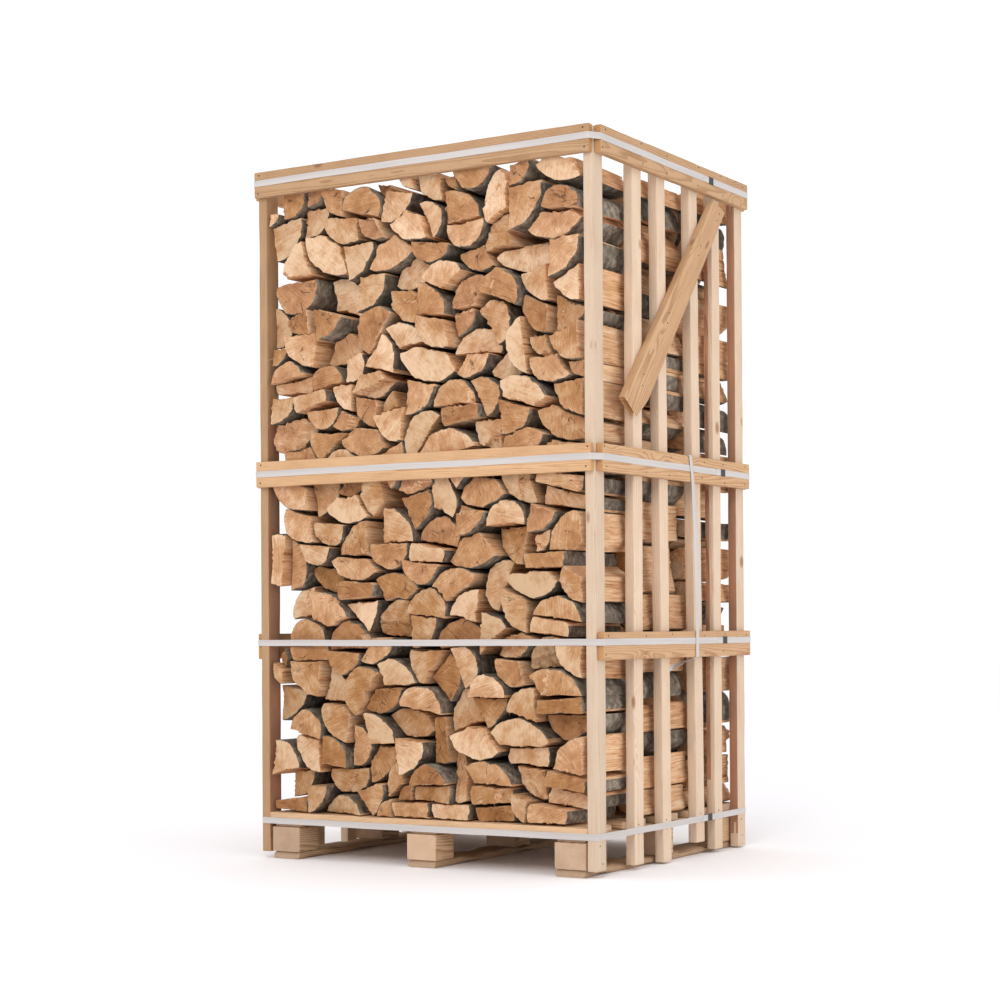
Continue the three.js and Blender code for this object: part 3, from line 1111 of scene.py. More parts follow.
@dataclass
class Strapping:
    """Plastic straps pulled round the crate, their steel seals, and a tie strap hanging on one side."""

    width: float = 19 * MM
    thick: float = 0.9 * MM
    levels: tuple[str, ...] = ("upper", "middle", "lower", "pallet")
    columns: int = 4
    seed: int = 500
    corner: float = 2.4 * MM
    step: float = 20 * MM
    sway: float = 0.5 * MM
    ripple: float = 0.3 * MM
    lap: tuple[float, float] = (-0.052, 0.034)  # from the seal's middle
    lip: float = 1.2 * MM
    crimps: tuple[float, ...] = (0.26, 0.42, 0.58, 0.74)

    def ribbon(self, shell: Shell, path: np.ndarray, side: np.ndarray, closed: bool) -> None:
        """Carries a flat section along a path.

        Args:
            shell: takes the surface.
            path: points along the middle of the ribbon.
            side: the direction of its width at each point.
            closed: whether it joins up.
        """
        if closed:
            along = np.roll(path, -1, 0) - np.roll(path, 1, 0)
        else:
            along = np.gradient(path, axis=0)
        along /= np.linalg.norm(along, axis=1)[:, None]
        side = side / np.linalg.norm(side, axis=1)[:, None]
        face = np.cross(along, side)
        face /= np.linalg.norm(face, axis=1)[:, None]
        v = np.linspace(-0.5, 0.5, self.columns)
        v = np.concatenate([v, v[::-1]])
        w = np.concatenate([np.full(self.columns, 0.5), np.full(self.columns, -0.5)])
        points = (
            path[:, None]
            + side[:, None] * (v * self.width)[None, :, None]
            + face[:, None] * (w * self.thick)[None, :, None]
        )
        step = np.linalg.norm(np.diff(path, axis=0, prepend=path[:1]), axis=1)
        run = np.cumsum(step)
        grain = np.stack(np.broadcast_arrays(run[:, None], (v * self.width)[None], 0.0), 2)
        rows, count = len(path), len(v)
        start = shell.points_in(points, grain)
        quads = grid_faces(rows + (1 if closed else 0), count, start)
        if closed:
            quads = np.where(quads >= start + rows * count, quads - rows * count, quads)
        shell.faces_in(quads, 0)
        if not closed:
            half = self.columns
            for row, way in ((0, 1), (rows - 1, -1)):
                first = start + row * count + np.arange(half - 1)
                other = start + row * count + count - 1 - np.arange(half - 1)
                cap = np.stack([first, first + 1, other - 1, other], 1)
                shell.faces_in(cap[:, ::way], 0)

    def hull(self, points: np.ndarray) -> np.ndarray:
        """The convex outline of points in plan, by the monotone chain.

        Args:
            points: one (x, y) for each row.

        Returns:
            The corners, anticlockwise.
        """
        order = sorted({(round(float(x), 5), round(float(y), 5)) for x, y in points})
        half: list[list[tuple[float, float]]] = []
        for run in (order, order[::-1]):
            chain: list[tuple[float, float]] = []
            for p in run:
                while len(chain) > 1 and (
                    (chain[-1][0] - chain[-2][0]) * (p[1] - chain[-2][1])
                    - (chain[-1][1] - chain[-2][1]) * (p[0] - chain[-2][0])
                ) <= 0:
                    chain.pop()
                chain.append(p)
            half.append(chain[:-1])
        return np.array(half[0] + half[1])

    def build_round(self, level: str, seed: int) -> None:
        """Pulls one strap round the crate, with a lapped tail under its seal.

        Args:
            level: which strap.
            seed: seeds its slight waver.
        """
        rng = np.random.default_rng(seed)
        node = f"strap_{level}"
        low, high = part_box(node)
        corners = self.hull(np.array([v.co[:2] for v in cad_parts[node].data.vertices]))
        corners = corners - np.sign(corners) * self.thick / 2
        path = []
        for a, b in zip(corners, np.roll(corners, -1, 0)):
            length = np.linalg.norm(b - a)
            count = max(2, int(length / self.step))
            turn = self.corner / length
            share = np.concatenate([[turn], np.linspace(0, 1, count + 1)[1:-1], [1 - turn]])
            path.append(a + (b - a) * share[:, None])
        path = np.concatenate(path)
        place = np.linspace(0, 1, len(path), endpoint=False)
        sway = np.zeros(len(path))
        for size, fewest, most in ((self.sway, 3, 6), (self.ripple, 9, 16)):
            waves = np.round(rng.uniform(fewest, most))
            sway += size * np.sin(FULL_TURN * (waves * place + rng.uniform()))
        middle = (low.z + high.z) / 2
        path = np.column_stack([path, middle + sway])
        side = np.tile([0.0, 0.0, 1.0], (len(path), 1))
        shell = Shell()
        self.ribbon(shell, path, side, True)
        seal_low, seal_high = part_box(f"seal_{level}")
        y = np.linspace(*self.lap, 12) + (seal_low.y + seal_high.y) / 2
        x = seal_low.x + self.lip - GAP - 0.1 * MM
        lap = np.column_stack([np.full(12, x), y, np.full(12, middle)])
        lap[0, 0] += 0.5 * MM  # the tail's end stands off a little
        self.ribbon(shell, lap, side[:12], False)
        shell.piece(f"band_{level}", "strap_plastic", [STRAPPING], [node], sharp=40.0)

    def build_seal(self, level: str) -> None:
        """Folds a steel sleeve over the strap's edges: an open box with two crimps along each edge.

        Args:
            level: which strap's seal.
        """
        node = f"seal_{level}"
        low, high = (np.array(corner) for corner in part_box(node))
        rows, lip, front = 33, 3, 9
        u = np.linspace(0, 1, rows)
        half = (high[2] - low[2]) / 2
        middle = (high[2] + low[2]) / 2
        across = np.concatenate([np.ones(lip), np.linspace(0.98, -0.98, front), -np.ones(lip)])
        rise = np.linspace(0, 1, lip + 1)[:-1]
        depth = np.concatenate([rise, np.ones(front), rise[::-1]])
        crimp = sum(np.exp(-(((u - at) / 0.045) ** 2)) for at in self.crimps)
        edge = np.clip(np.abs(across) - 0.35, 0, 1) / 0.65
        z = middle + half * across[None] * (1 - 0.10 * crimp[:, None] * edge[None] ** 2)
        x = low[0] + (high[0] - low[0]) * depth[None] - 0.35 * MM * crimp[:, None] * edge[None]
        x = np.maximum(x, low[0])
        y = low[1] + (high[1] - low[1]) * u[:, None]
        outer = np.stack(np.broadcast_arrays(x, y, z), 2)
        inner = outer.copy()
        inner[..., 0] = np.maximum(low[0], inner[..., 0] - 0.7 * MM * (depth[None] > 0.5))
        inner[..., 2] = middle + (inner[..., 2] - middle) * np.where(np.abs(across) > 0.97, 0.93, 1.0)
        columns = len(across)
        shell = Shell()
        first = shell.points_in(outer)
        second = shell.points_in(inner)
        shell.faces_in(grid_faces(rows, columns, first, closed=False)[:, ::-1], 0)
        shell.faces_in(grid_faces(rows, columns, second, closed=False), 0)
        index = np.arange(rows * columns).reshape(rows, columns)
        rim = np.concatenate([index[0], index[1:, -1], index[-1, -2::-1], index[-2:0:-1, 0]])
        following = np.roll(rim, -1)
        shell.faces_in(np.stack([second + rim, second + following, first + following, first + rim], 1), 0)
        shell.piece(f"crimped_{node}", "seal_steel", [STEEL], [node], sharp=30.0)

    def build_tie(self) -> None:
        """Hangs the tie strap: over the middle rail, down outside the slats and in under the lower rail.

        Each station is a place on the strap's middle line and the direction of its width there. The part
        that hangs free is eased by averaging each station with its neighbours.
        """
        face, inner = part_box("rail_middle_right")[1].x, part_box("slat_3_right")[0].x
        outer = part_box("slat_3_right")[1].x
        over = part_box("rail_middle_right")[1].z + 1.5 * MM
        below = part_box("rail_lower_right")[0].z - 1.5 * MM
        hang = face + 2 * (GAP + self.thick)
        stations = np.array([
            [outer - 1.5 * MM, 0.062, over - 61.5 * MM, 0, 1, 0],
            [outer - 1.5 * MM, 0.063, over - 1.5 * MM, 0, 1, 0],
            [outer + GAP, 0.064, over, 0, 1, 0],
            [face, 0.065, over, 0, 1, 0],
            [hang, 0.067, over - 3 * MM, 0, 1, 0],
            [hang, 0.083, over - 81.5 * MM, 0, 1, 0],
            [hang + MM, 0.096, 1.020, 0.3, 0.95, 0],
            [hang + 2 * MM, 0.105, 0.860, 0.42, 0.91, 0],
            [hang + MM, 0.107, 0.760, 0.2, 0.98, 0],
            [hang, 0.108, 0.703, 0, 1, 0],
            [hang, 0.106, 0.623, 0, 1, 0],
            [face, 0.104, below, 0, 1, 0],
            [outer + 2 * MM, 0.092, below - 5 * MM, -0.35, 0.9, 0.2],
            [inner - 3 * MM, 0.050, below - 30 * MM, 0, 0.5, 0.9],
            [inner - 3.6 * MM, -0.060, below - 52 * MM, 0, 0.2, 1],
        ])
        step = np.linalg.norm(np.diff(stations[:, :3], axis=0), axis=1)
        run = np.concatenate([[0], np.cumsum(step)])
        fine = np.unique(np.concatenate([run, np.linspace(0, run[-1], 110)]))
        smooth = np.column_stack([np.interp(fine, run, stations[:, k]) for k in range(6)])
        kernel = np.array([0.25, 0.5, 0.25])
        free = (fine > run[4]) & (fine < run[10])
        for _ in range(6):
            eased = np.column_stack([np.convolve(smooth[:, k], kernel, "same") for k in range(6)])
            smooth[free] = eased[free]
        shell = Shell()
        self.ribbon(shell, smooth[:, :3], smooth[:, 3:], False)
        shell.piece("tie_band", "strap_plastic", [STRAPPING], ["strap_tie"], sharp=40.0)

    def build(self) -> None:
        """Builds the four straps with their seals, and the tie strap."""
        for seed, level in enumerate(self.levels, self.seed):
            self.build_round(level, seed)
            self.build_seal(level)
        self.build_tie()


# ---- Logs ----


class Cut(Enum):
    """How a round of beech was split: its share of the stock, its radius range and its riven faces.

    Each riven face has the range of its outward direction from the pith, in radians, and the range of its
    distance from the pith as a share of the radius.
    """

    HALF = (0.13, (0.055, 0.084), (((-0.1, 0.1), (-0.14, 0.22)),))
    THIRD = (0.15, (0.064, 0.094), (((0.4, 0.66), (-0.06, 0.14)), ((-0.66, -0.4), (-0.06, 0.14))))
    QUARTER = (0.24, (0.074, 0.114), (((0.66, 0.95), (-0.06, 0.14)), ((-0.95, -0.6), (-0.06, 0.14))))
    SIXTH = (0.17, (0.084, 0.124), (((0.95, 1.2), (0.0, 0.08)), ((-1.2, -0.95), (0.0, 0.08))))
    CHIP = (0.08, (0.044, 0.062), (((0.5, 0.95), (-0.06, 0.14)), ((-0.95, -0.5), (-0.06, 0.14))))
    SLAB = (0.06, (0.082, 0.112), (((-0.1, 0.1), (-0.40, -0.20)),))
    PLANK = (0.05, (0.062, 0.080), (((-0.1, 0.1), (0.22, 0.42)), ((2.95, 3.35), (0.2, 0.4))))
    TRIMMED = (
        0.2,
        (0.092, 0.128),
        (((0.55, 0.95), (0.0, 0.16)), ((-0.95, -0.6), (0.0, 0.16)), ((-0.3, 0.3), (-0.4, -0.12))),
    )


@dataclass
class Stock:
    """Sections of split logs: each a circle about the pith, cut by up to three flat riven faces."""

    count: int
    rng: np.random.Generator
    angles: int = 64
    unevenness: float = 0.105

    def __post_init__(self) -> None:
        """Draws the sections and works out where each one's outline lies."""
        rng, n = self.rng, self.count
        cuts = list(Cut)
        share = np.array([cut.value[0] for cut in cuts])
        kind = rng.choice(len(cuts), n, p=share / share.sum())
        self.radius = np.zeros(n)
        self.facing = np.zeros((n, 3))
        self.distance = np.full((n, 3), FAR_OFF)
        for k, cut in enumerate(cuts):
            mine = kind == k
            self.radius[mine] = rng.uniform(*cut.value[1], mine.sum())
            for i, (direction, offset) in enumerate(cut.value[2]):
                self.facing[mine, i] = rng.uniform(*direction, mine.sum())
                self.distance[mine, i] = rng.uniform(*offset, mine.sum()) * self.radius[mine]
        self.out = np.stack([np.cos(self.facing), np.sin(self.facing)], 2)
        self.find_centres()
        self.theta = np.linspace(0, FULL_TURN, self.angles, endpoint=False)[None].repeat(n, 0)
        self.snap_corners()
        self.reach, met = self.outline(self.theta)
        self.is_bark = met == 0
        self.warp()

    def find_centres(self) -> None:
        """Finds each section's centre and area from a grid of points that lie inside it."""
        u = np.linspace(-1, 1, 41)
        gx, gz = np.meshgrid(u, u)
        grid = np.stack([gx.ravel(), gz.ravel()], 1)[None] * self.radius[:, None, None]
        inside = np.hypot(grid[..., 0], grid[..., 1]) < self.radius[:, None]
        inside &= (np.einsum("mgc,mpc->mgp", grid, self.out) < self.distance[:, None, :]).all(2)
        self.centre = (grid * inside[..., None]).sum(1) / inside.sum(1)[:, None]
        self.area = inside.mean(1) * (2 * self.radius) ** 2

    def outline(self, theta: np.ndarray) -> tuple[np.ndarray, np.ndarray]:
        """The outline seen from the centre: the nearest of the bark circle and the riven faces.

        Args:
            theta: directions, one row for each section.

        Returns:
            The distance in each direction, and what is met there: 0 for bark, then the faces.
        """
        u = np.stack([np.cos(theta), np.sin(theta)], 2)
        along = np.einsum("mtc,mc->mt", u, self.centre)
        gap = self.radius**2 - (self.centre**2).sum(1)
        rim = -along + np.sqrt(along**2 + gap[:, None])
        toward = np.einsum("mtc,mpc->mtp", u, self.out)
        room = self.distance - np.einsum("mc,mpc->mp", self.centre, self.out)
        faces = np.where(toward > 1e-6, room[:, None, :] / np.maximum(toward, 1e-6), FAR_OFF)
        every = np.concatenate([rim[..., None], faces], 2)
        return every.min(2), every.argmin(2)

    def snap_corners(self) -> None:
        """Moves the nearest direction onto each corner, found by halving the interval it lies in."""
        low, high = self.theta.copy(), np.roll(self.theta, -1, 1)
        high[:, -1] += FULL_TURN
        first, second = self.outline(low)[1], self.outline(high)[1]
        change = first != second
        a, b = low.copy(), high.copy()
        for _ in range(12):
            middle = (a + b) / 2
            same = self.outline(middle)[1] == first
            a, b = np.where(same, middle, a), np.where(same, b, middle)
        middle = (a + b) / 2
        nearer_low = change & (middle - low < high - middle)
        nearer_high = change & ~nearer_low
        theta = np.where(nearer_low, middle, self.theta)
        rows, columns = np.nonzero(nearer_high)
        theta[rows, (columns + 1) % self.angles] = middle[rows, columns]
        theta[:, 0] = np.where(theta[:, 0] > math.pi, theta[:, 0] - FULL_TURN, theta[:, 0])
        self.theta = theta

    def warp(self) -> None:
        """Makes the outlines uneven: reach * (1 + the sum of size / k * cos(k * theta + phase))."""
        n = self.count
        uneven = np.zeros_like(self.reach)
        for k in range(2, 15):
            size = self.unevenness / k * self.rng.uniform(0.3, 1.0, (n, 1))
            uneven += size * np.cos(k * self.theta + self.rng.uniform(0, FULL_TURN, (n, 1)))
        self.reach = self.reach * (1 + uneven)


@dataclass
class Heap:
    """Stacks sections between the slatted sides, lowest place first, and then lets them settle.

    A log's place is where its lower edge rests on the skyline of the logs below it. Of many sections and
    turns tried at the lowest place, the one is taken that leaves the least air and the levellest skyline.
    bark_down says how strongly logs lie on their bark, up to half a metre and above it. crest_cost and
    pit_cost weigh a log's height and the pits beside it against the air below it.
    """

    width: float
    top_left: float
    top_right: float
    seed: int
    angles: int
    cell: float = 4 * MM
    stock_count: int = 260
    turns: int = 20
    tries: int = 420
    finalists: int = 36
    pit_span: int = 11
    deepest_pit: float = 0.2
    last_room: float = 0.085
    low_part: float = 0.5
    bark_down: tuple[float, float] = (1.2, 2.6)
    wall_cells: int = 30
    bark_inward: float = 5.0
    crest_cost: float = 3.0
    pit_cost: float = 0.8

    def stack(self) -> None:
        """Stacks one row and lets it settle."""
        self.rng = np.random.default_rng(self.seed)
        self.stock = Stock(self.stock_count, self.rng, self.angles)
        self.measure()
        self.pile()
        self.settle()

    def measure(self) -> None:
        """Works out each section's lower and upper edge, at each turn, on columns one cell wide."""
        stock, rng = self.stock, self.rng
        count, angles = stock.reach.shape
        spread = np.arange(self.turns)[None] + rng.uniform(-0.4, 0.4, (count, self.turns))
        self.turn = spread * FULL_TURN / self.turns
        a = stock.theta[:, None, :] + self.turn[:, :, None]
        total = count * self.turns
        x = (stock.reach[:, None, :] * np.cos(a)).reshape(total, angles)
        z = (stock.reach[:, None, :] * np.sin(a)).reshape(total, angles)
        s = np.linspace(0, 1, 16, endpoint=False)
        x = (x[..., None] * (1 - s) + np.roll(x, -1, 1)[..., None] * s).reshape(total, -1)
        z = (z[..., None] * (1 - s) + np.roll(z, -1, 1)[..., None] * s).reshape(total, -1)
        self.left = x.min(1)
        self.wide = np.ceil((x.max(1) - self.left) / self.cell).astype(int)
        self.columns = int(self.wide.max())
        column = ((x - self.left[:, None]) / self.cell).astype(int)
        column = np.clip(column, 0, self.wide[:, None] - 1)
        place = (np.arange(total)[:, None] * self.columns + column).ravel()
        lower = np.full(total * self.columns, np.inf)
        upper = np.full(total * self.columns, -np.inf)
        np.minimum.at(lower, place, z.ravel())
        np.maximum.at(upper, place, z.ravel())
        self.lower = lower.reshape(total, -1)
        self.upper = upper.reshape(total, -1)
        self.inside = np.arange(self.columns)[None] < self.wide[:, None]
        crest = np.where(self.inside, self.upper, -FAR_OFF).max(1)
        tall = crest - np.where(self.inside, self.lower, FAR_OFF).min(1)
        flat = np.clip(self.wide * self.cell / tall, 0.35, 1.9) ** 1.5
        bark = stock.is_bark[:, None, :]
        down = -(np.sin(a) * bark).sum(2) / np.maximum(bark.sum(2), 1)
        self.flat, self.down = flat, np.exp(down.reshape(-1))
        self.bark_right = ((np.cos(a) * bark).sum(2) / angles).reshape(-1)
        self.small = np.repeat(stock.area < np.quantile(stock.area, 0.3), self.turns) * flat

    def weights(self, here: int, level: float, room: float) -> np.ndarray:
        """How likely each section and turn is tried: flat ones, bark down, and riven towards the slats.

        Args:
            here: the column that is to be filled.
            level: the skyline's height there.
            room: what is left above it.

        Returns:
            Shares that add up to 1.
        """
        weight = self.small if room < self.last_room else self.flat
        weight = weight * self.down ** self.bark_down[int(level >= self.low_part)]
        cells = int(self.width / self.cell)
        for wall, way in ((here, -1), (cells - here, 1)):
            if wall < self.wall_cells:
                weight = weight * np.exp(-self.bark_inward * np.clip(way * self.bark_right, 0, None))
        return weight / weight.sum()

    def pile(self) -> None:
        """Stacks until no section fits under the heap's top."""
        rng, cell, columns = self.rng, self.cell, self.columns
        cells = int(self.width / cell)
        top = np.linspace(self.top_left, self.top_right, cells)
        sky = np.zeros(cells)
        full = np.zeros(cells, bool)
        area = np.repeat(self.stock.area, self.turns)
        offsets = np.arange(columns)
        window_of = np.lib.stride_tricks.sliding_window_view
        placed = []
        while not full.all():
            here = int(np.where(full, FAR_OFF, sky + rng.uniform(0, cell, cells)).argmin())
            weight = self.weights(here, sky[here], top[here] - sky[here])
            pick = rng.choice(len(area), self.tries, p=weight)
            inside, wide = self.inside[pick], self.wide[pick]
            lower = np.where(inside, self.lower[pick], 0.0)
            upper = self.upper[pick]
            walls = np.full(columns, FAR_OFF)
            skyline = np.concatenate([walls, sky, walls])
            window = window_of(skyline, columns)[here - offsets + columns]
            gap = np.where(inside[:, None], window[None] - lower[:, None], -FAR_OFF)
            rest = gap.max(2)
            fits = (offsets[None] < wide[:, None]) & (rest < FAR_OFF / 2)
            air = np.where(inside[:, None], rest[:, :, None] - gap, 0).sum(2) * cell
            crest = rest + np.where(inside, upper, -FAR_OFF).max(1)[:, None]
            fits &= crest <= top[here]
            score = air / area[pick][:, None] + self.crest_cost * (crest - sky[here])
            score = np.where(fits, score, np.inf)
            best = np.argsort(score, axis=None)[: self.finalists]
            best = best[np.isfinite(score.ravel()[best])]
            if not len(best):
                full[max(0, here - 3) : here + 4] = True
                continue
            which, shift = np.unravel_index(best, score.shape)
            skies = np.repeat(sky[None], len(best), 0)
            for row, (w, s) in enumerate(zip(which, shift)):
                span = slice(here - s, here - s + wide[w])
                skies[row, span] = np.maximum(skies[row, span], rest[w, s] + upper[w, : wide[w]])
            span = self.pit_span
            padded = np.pad(skies, ((0, 0), (span, span)), constant_values=FAR_OFF)
            filled = window_of(window_of(padded, span, axis=1).max(2), span, axis=1).min(2)
            pits = np.clip(filled[:, 1 : 1 + cells] - skies, 0, self.deepest_pit).sum(1) * cell
            cost = (air[which, shift] + self.pit_cost * pits) / area[pick][which]
            cost = cost + self.crest_cost * (crest[which, shift] - sky[here])
            row = int(cost.argmin())
            w, s = which[row], shift[row]
            sky = skies[row]
            chosen = pick[w]
            x = (here - s) * cell - self.left[chosen]
            placed.append((chosen // self.turns, self.turn.ravel()[chosen], x, rest[w, s]))
        placed = np.array(placed)
        self.kind = placed[:, 0].astype(int)
        self.angle, self.x, self.z = placed[:, 1].copy(), placed[:, 2].copy(), placed[:, 3].copy()

    def settle(
        self,
        rounds: int = 24,
        growth: float = 0.02,
        most: float = 1.2,
        nudge: float = 2.2 * MM,
        sag: float = 0.5 * MM,
        twist: float = 0.05,
    ) -> None:
        """Nudges, turns and grows the logs one by one, keeping each change that clears the others.

        Args:
            rounds: how often each log is tried.
            growth: the most that one try grows a log.
            most: the most that a log grows in all.
            nudge: how far a try moves a log.
            sag: how far down it moves it besides.
            twist: how far it turns it, in radians.
        """
        rng, stock, cell = self.rng, self.stock, 3 * MM
        count = len(self.kind)
        self.scale = np.full(count, 0.98)
        across = (np.arange(int(self.width / cell)) + 0.5) * cell
        upward = (np.arange(int(max(self.top_left, self.top_right) / cell)) + 0.5) * cell
        taken = np.zeros((len(across), len(upward)), np.int32)

        def shadow(
            i: int, x: float, z: float, angle: float, scale: float
        ) -> tuple[tuple[slice, slice], np.ndarray]:
            """The cells that a log covers.

            Args:
                i: the log's number.
                x: its middle across the crate, in metres.
                z: its middle upwards, in metres.
                angle: how far it is turned, in radians.
                scale: its size beside the section that it was drawn from.

            Returns:
                A window of the grid, and a mask on it.
            """
            reach = stock.reach[self.kind[i]] * scale
            far = reach.max()
            x0, x1 = max(int((x - far) / cell), 0), int((x + far) / cell) + 2
            z0, z1 = max(int((z - far) / cell), 0), int((z + far) / cell) + 2
            dx, dz = across[x0:x1, None] - x, upward[None, z0:z1] - z
            toward = (np.arctan2(dz, dx) - angle) % FULL_TURN
            limit = np.interp(toward, stock.theta[self.kind[i]], reach, period=FULL_TURN)
            return (slice(x0, x1), slice(z0, z1)), np.hypot(dx, dz) < limit

        for i in range(count):
            window, mask = shadow(i, self.x[i], self.z[i], self.angle[i], self.scale[i])
            free = taken[window] == 0
            taken[window][mask & free] = i + 1
        for _ in range(rounds):
            for i in rng.permutation(count):
                scale = min(self.scale[i] + growth * rng.uniform(), most)
                x, z = self.x[i] + rng.normal(0, nudge), self.z[i] + rng.normal(-sag, nudge)
                angle = self.angle[i] + rng.normal(0, twist)
                a = stock.theta[self.kind[i]] + angle
                reach = stock.reach[self.kind[i]] * scale
                px, pz = x + reach * np.cos(a), z + reach * np.sin(a)
                if px.min() < 0 or px.max() > self.width or pz.min() < 0 or pz.max() > upward[-1]:
                    continue
                window, mask = shadow(i, x, z, angle, scale)
                others = (taken[window] != 0) & (taken[window] != i + 1)
                if (others & mask).any():
                    continue
                old, old_mask = shadow(i, self.x[i], self.z[i], self.angle[i], self.scale[i])
                mine = old_mask & (taken[old] == i + 1)
                taken[old][mine] = 0
                taken[window][mask] = i + 1
                self.x[i], self.z[i], self.angle[i], self.scale[i] = x, z, angle, scale


class Tier(Enum):
    """Heights between which a piece gathers its logs, in metres."""

    LOWER = (0.0, 0.62)
    MIDDLE = (0.62, 1.20)
    UPPER = (1.20, 2.2)


@dataclass
class LogRow:
    """One row of split logs, stacked between the sides, their lengths running front to back.

    stations are the rings' places along a log. Logs that hide have only few_rings of them. spread and
    set_back say how unevenly the ends lie, torn how many ends have a tear, and riven_ends how many are
    split off and not sawn.
    """

    label: str
    seed: int
    angles: int = 64
    front_rings: int = 4
    back_rings: int = 4
    stations: tuple[float, ...] = (0, 0.012, 0.06, 0.2, 0.36, 0.52, 0.68, 0.84, 0.95, 0.988, 1)
    spread: float = 10 * MM
    set_back: float = 0.3
    torn: float = 0.2
    riven_ends: float = 0.07
    few_rings: tuple[int, ...] = (0, 1, 2, -1)
    edge_break: float = 1.1 * MM
    chipping: float = 2.6 * MM
    clearance: float = 0.9 * MM
    over_left: float = 22 * MM
    over_right: float = 4 * MM
    tilt: float = 0.06
    deepest_tear: float = 45 * MM
    end_limit: float = 0.510
    board_limit: float = 0.4985

    def lay(self) -> None:
        """Stacks the row inside its CAD solid's box."""
        node = f"log_row_{self.label}"
        low, high = (np.array(corner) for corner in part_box(node))
        self.low, self.high = low, high
        width, _, height = high - low
        top = height + self.over_left, height + self.over_right
        self.heap = Heap(width, *top, self.seed, self.angles)
        self.heap.stack()
        log.info("%s: %d logs", node, len(self.heap.kind))

    def cut_plane(
        self, x: np.ndarray, z: np.ndarray, size: np.ndarray, rng: np.random.Generator, outward: float
    ) -> np.ndarray:
        """How far an end face lies from square.

        Depth = tilt * place + a slow ripple + tear, where the tear sets back what is past a chord, over a
        steep ragged wall.

        Args:
            x: places on the section, one row for each log.
            z: the same, upwards.
            size: each log's largest reach.
            rng: draws the tilts and tears.
            outward: -1 at the front end and 1 at the back.

        Returns:
            The shift of each place along y.
        """
        shape = (len(x),) + (1,) * (x.ndim - 1)
        tilt_x, tilt_z = rng.normal(0, self.tilt, shape), rng.normal(0, self.tilt, shape)
        shift = tilt_x * x + tilt_z * z
        for wave in (45.0, 110.0, 230.0):
            a, p = rng.uniform(0, FULL_TURN, shape), rng.uniform(0, FULL_TURN, shape)
            shift = shift + 0.05 / wave * np.cos(wave * (x * np.cos(a) + z * np.sin(a)) + p)
        chord = rng.uniform(0, FULL_TURN, shape)
        start = rng.uniform(0.05, 0.75, shape) * size.reshape(shape)
        down, across = x * np.cos(chord) + z * np.sin(chord), z * np.cos(chord) - x * np.sin(chord)
        past = down - start
        ragged = 3 * MM * np.cos(260 * across + rng.uniform(0, 6, shape)) + 2 * MM * np.cos(610 * across)
        is_torn = rng.uniform(size=shape) < self.torn
        deep = np.where(is_torn, rng.gamma(2.0, 7.0, shape) * MM, 0.0)
        deep = np.minimum(deep, self.deepest_tear)
        step = np.clip((past + ragged) / (4 * MM), 0, 1)
        step = step * step * (3 - 2 * step)
        slope = 1 + 5.0 * np.clip(past, 0, 0.08)
        ridge = np.cos(170 * across + 3 * np.cos(60 * down) + 9 * start)
        ridge = ridge + 0.6 * np.cos(390 * across + 40 * down)
        rough = 0.3 * (down + size.reshape(shape)) + 2.6 * MM * (1 + ridge)
        return shift - outward * (deep * step * slope + self.riven_end.reshape(shape) * rough)

    def build(self) -> None:
        """Shapes every log of the row at once and gathers them by tier.

        A log's surface is its section carried along y: place = path(s) + reach(theta) * width(s) + relief,
        where the relief of a riven face is ridges along the fibres and that of bark is low bumps.
        """
        heap, stock = self.heap, self.heap.stock
        rng = np.random.default_rng(self.seed + 1)
        kind, n, t = heap.kind, len(heap.kind), self.angles
        theta = stock.theta[kind]
        bark = stock.is_bark[kind].astype(float)
        reach = stock.reach[kind] * heap.scale[:, None] - self.clearance
        size = reach.max(1)
        s = np.array(self.stations)
        relief = np.zeros((n, len(s), t))
        each, along = (n, 1, 1), s[None, :, None]
        for _ in range(6):
            turned = rng.integers(4, 19, each) * theta[:, None] + rng.uniform(0, FULL_TURN, each)
            wave = np.cos(turned + rng.normal(0, 2.0, each) * along)
            relief += rng.uniform(0.15, 1.1, each) * MM * (wave - 0.8) * (1 - bark[:, None])
        for _ in range(4):
            turned = rng.integers(1, 6, each) * theta[:, None] + rng.uniform(0, FULL_TURN, each)
            wave = np.cos(turned + rng.uniform(3, 14, each) * along)
            relief += rng.uniform(0.1, 0.6, each) * MM * (wave - 0.6) * bark[:, None]
        taper = rng.normal(0, 0.025, each)
        width = 1 + taper * (along - 0.5) - np.abs(taper) / 2
        inset = np.zeros(len(s))
        inset[[0, -1]] = self.edge_break
        chipped = rng.uniform(0, 1, (n, len(s), t)) ** 2 * (inset > 0)[None, :, None] * self.chipping
        radius = reach[:, None] * width + relief - inset[None, :, None] - chipped
        local_x = radius * np.cos(theta)[:, None]
        local_z = radius * np.sin(theta)[:, None]
        bend = rng.normal(0, 1.6 * MM, (2, n, 1)) * (4 * s * (1 - s))[None, None]
        lean = rng.normal(0, 2.2 * MM, (2, n, 1)) * (s - 0.5)[None, None]
        path_x = heap.x[:, None] + bend[0] + lean[0]
        path_z = heap.z[:, None] + bend[1] + lean[1]

        away = rng.normal(0, self.spread, (2, n))
        for side in away:
            some = rng.uniform(size=n) < self.set_back
            side += np.where(some, rng.uniform(10 * MM, 52 * MM, n), 0)
        away = np.clip(away, -13 * MM, 66 * MM)

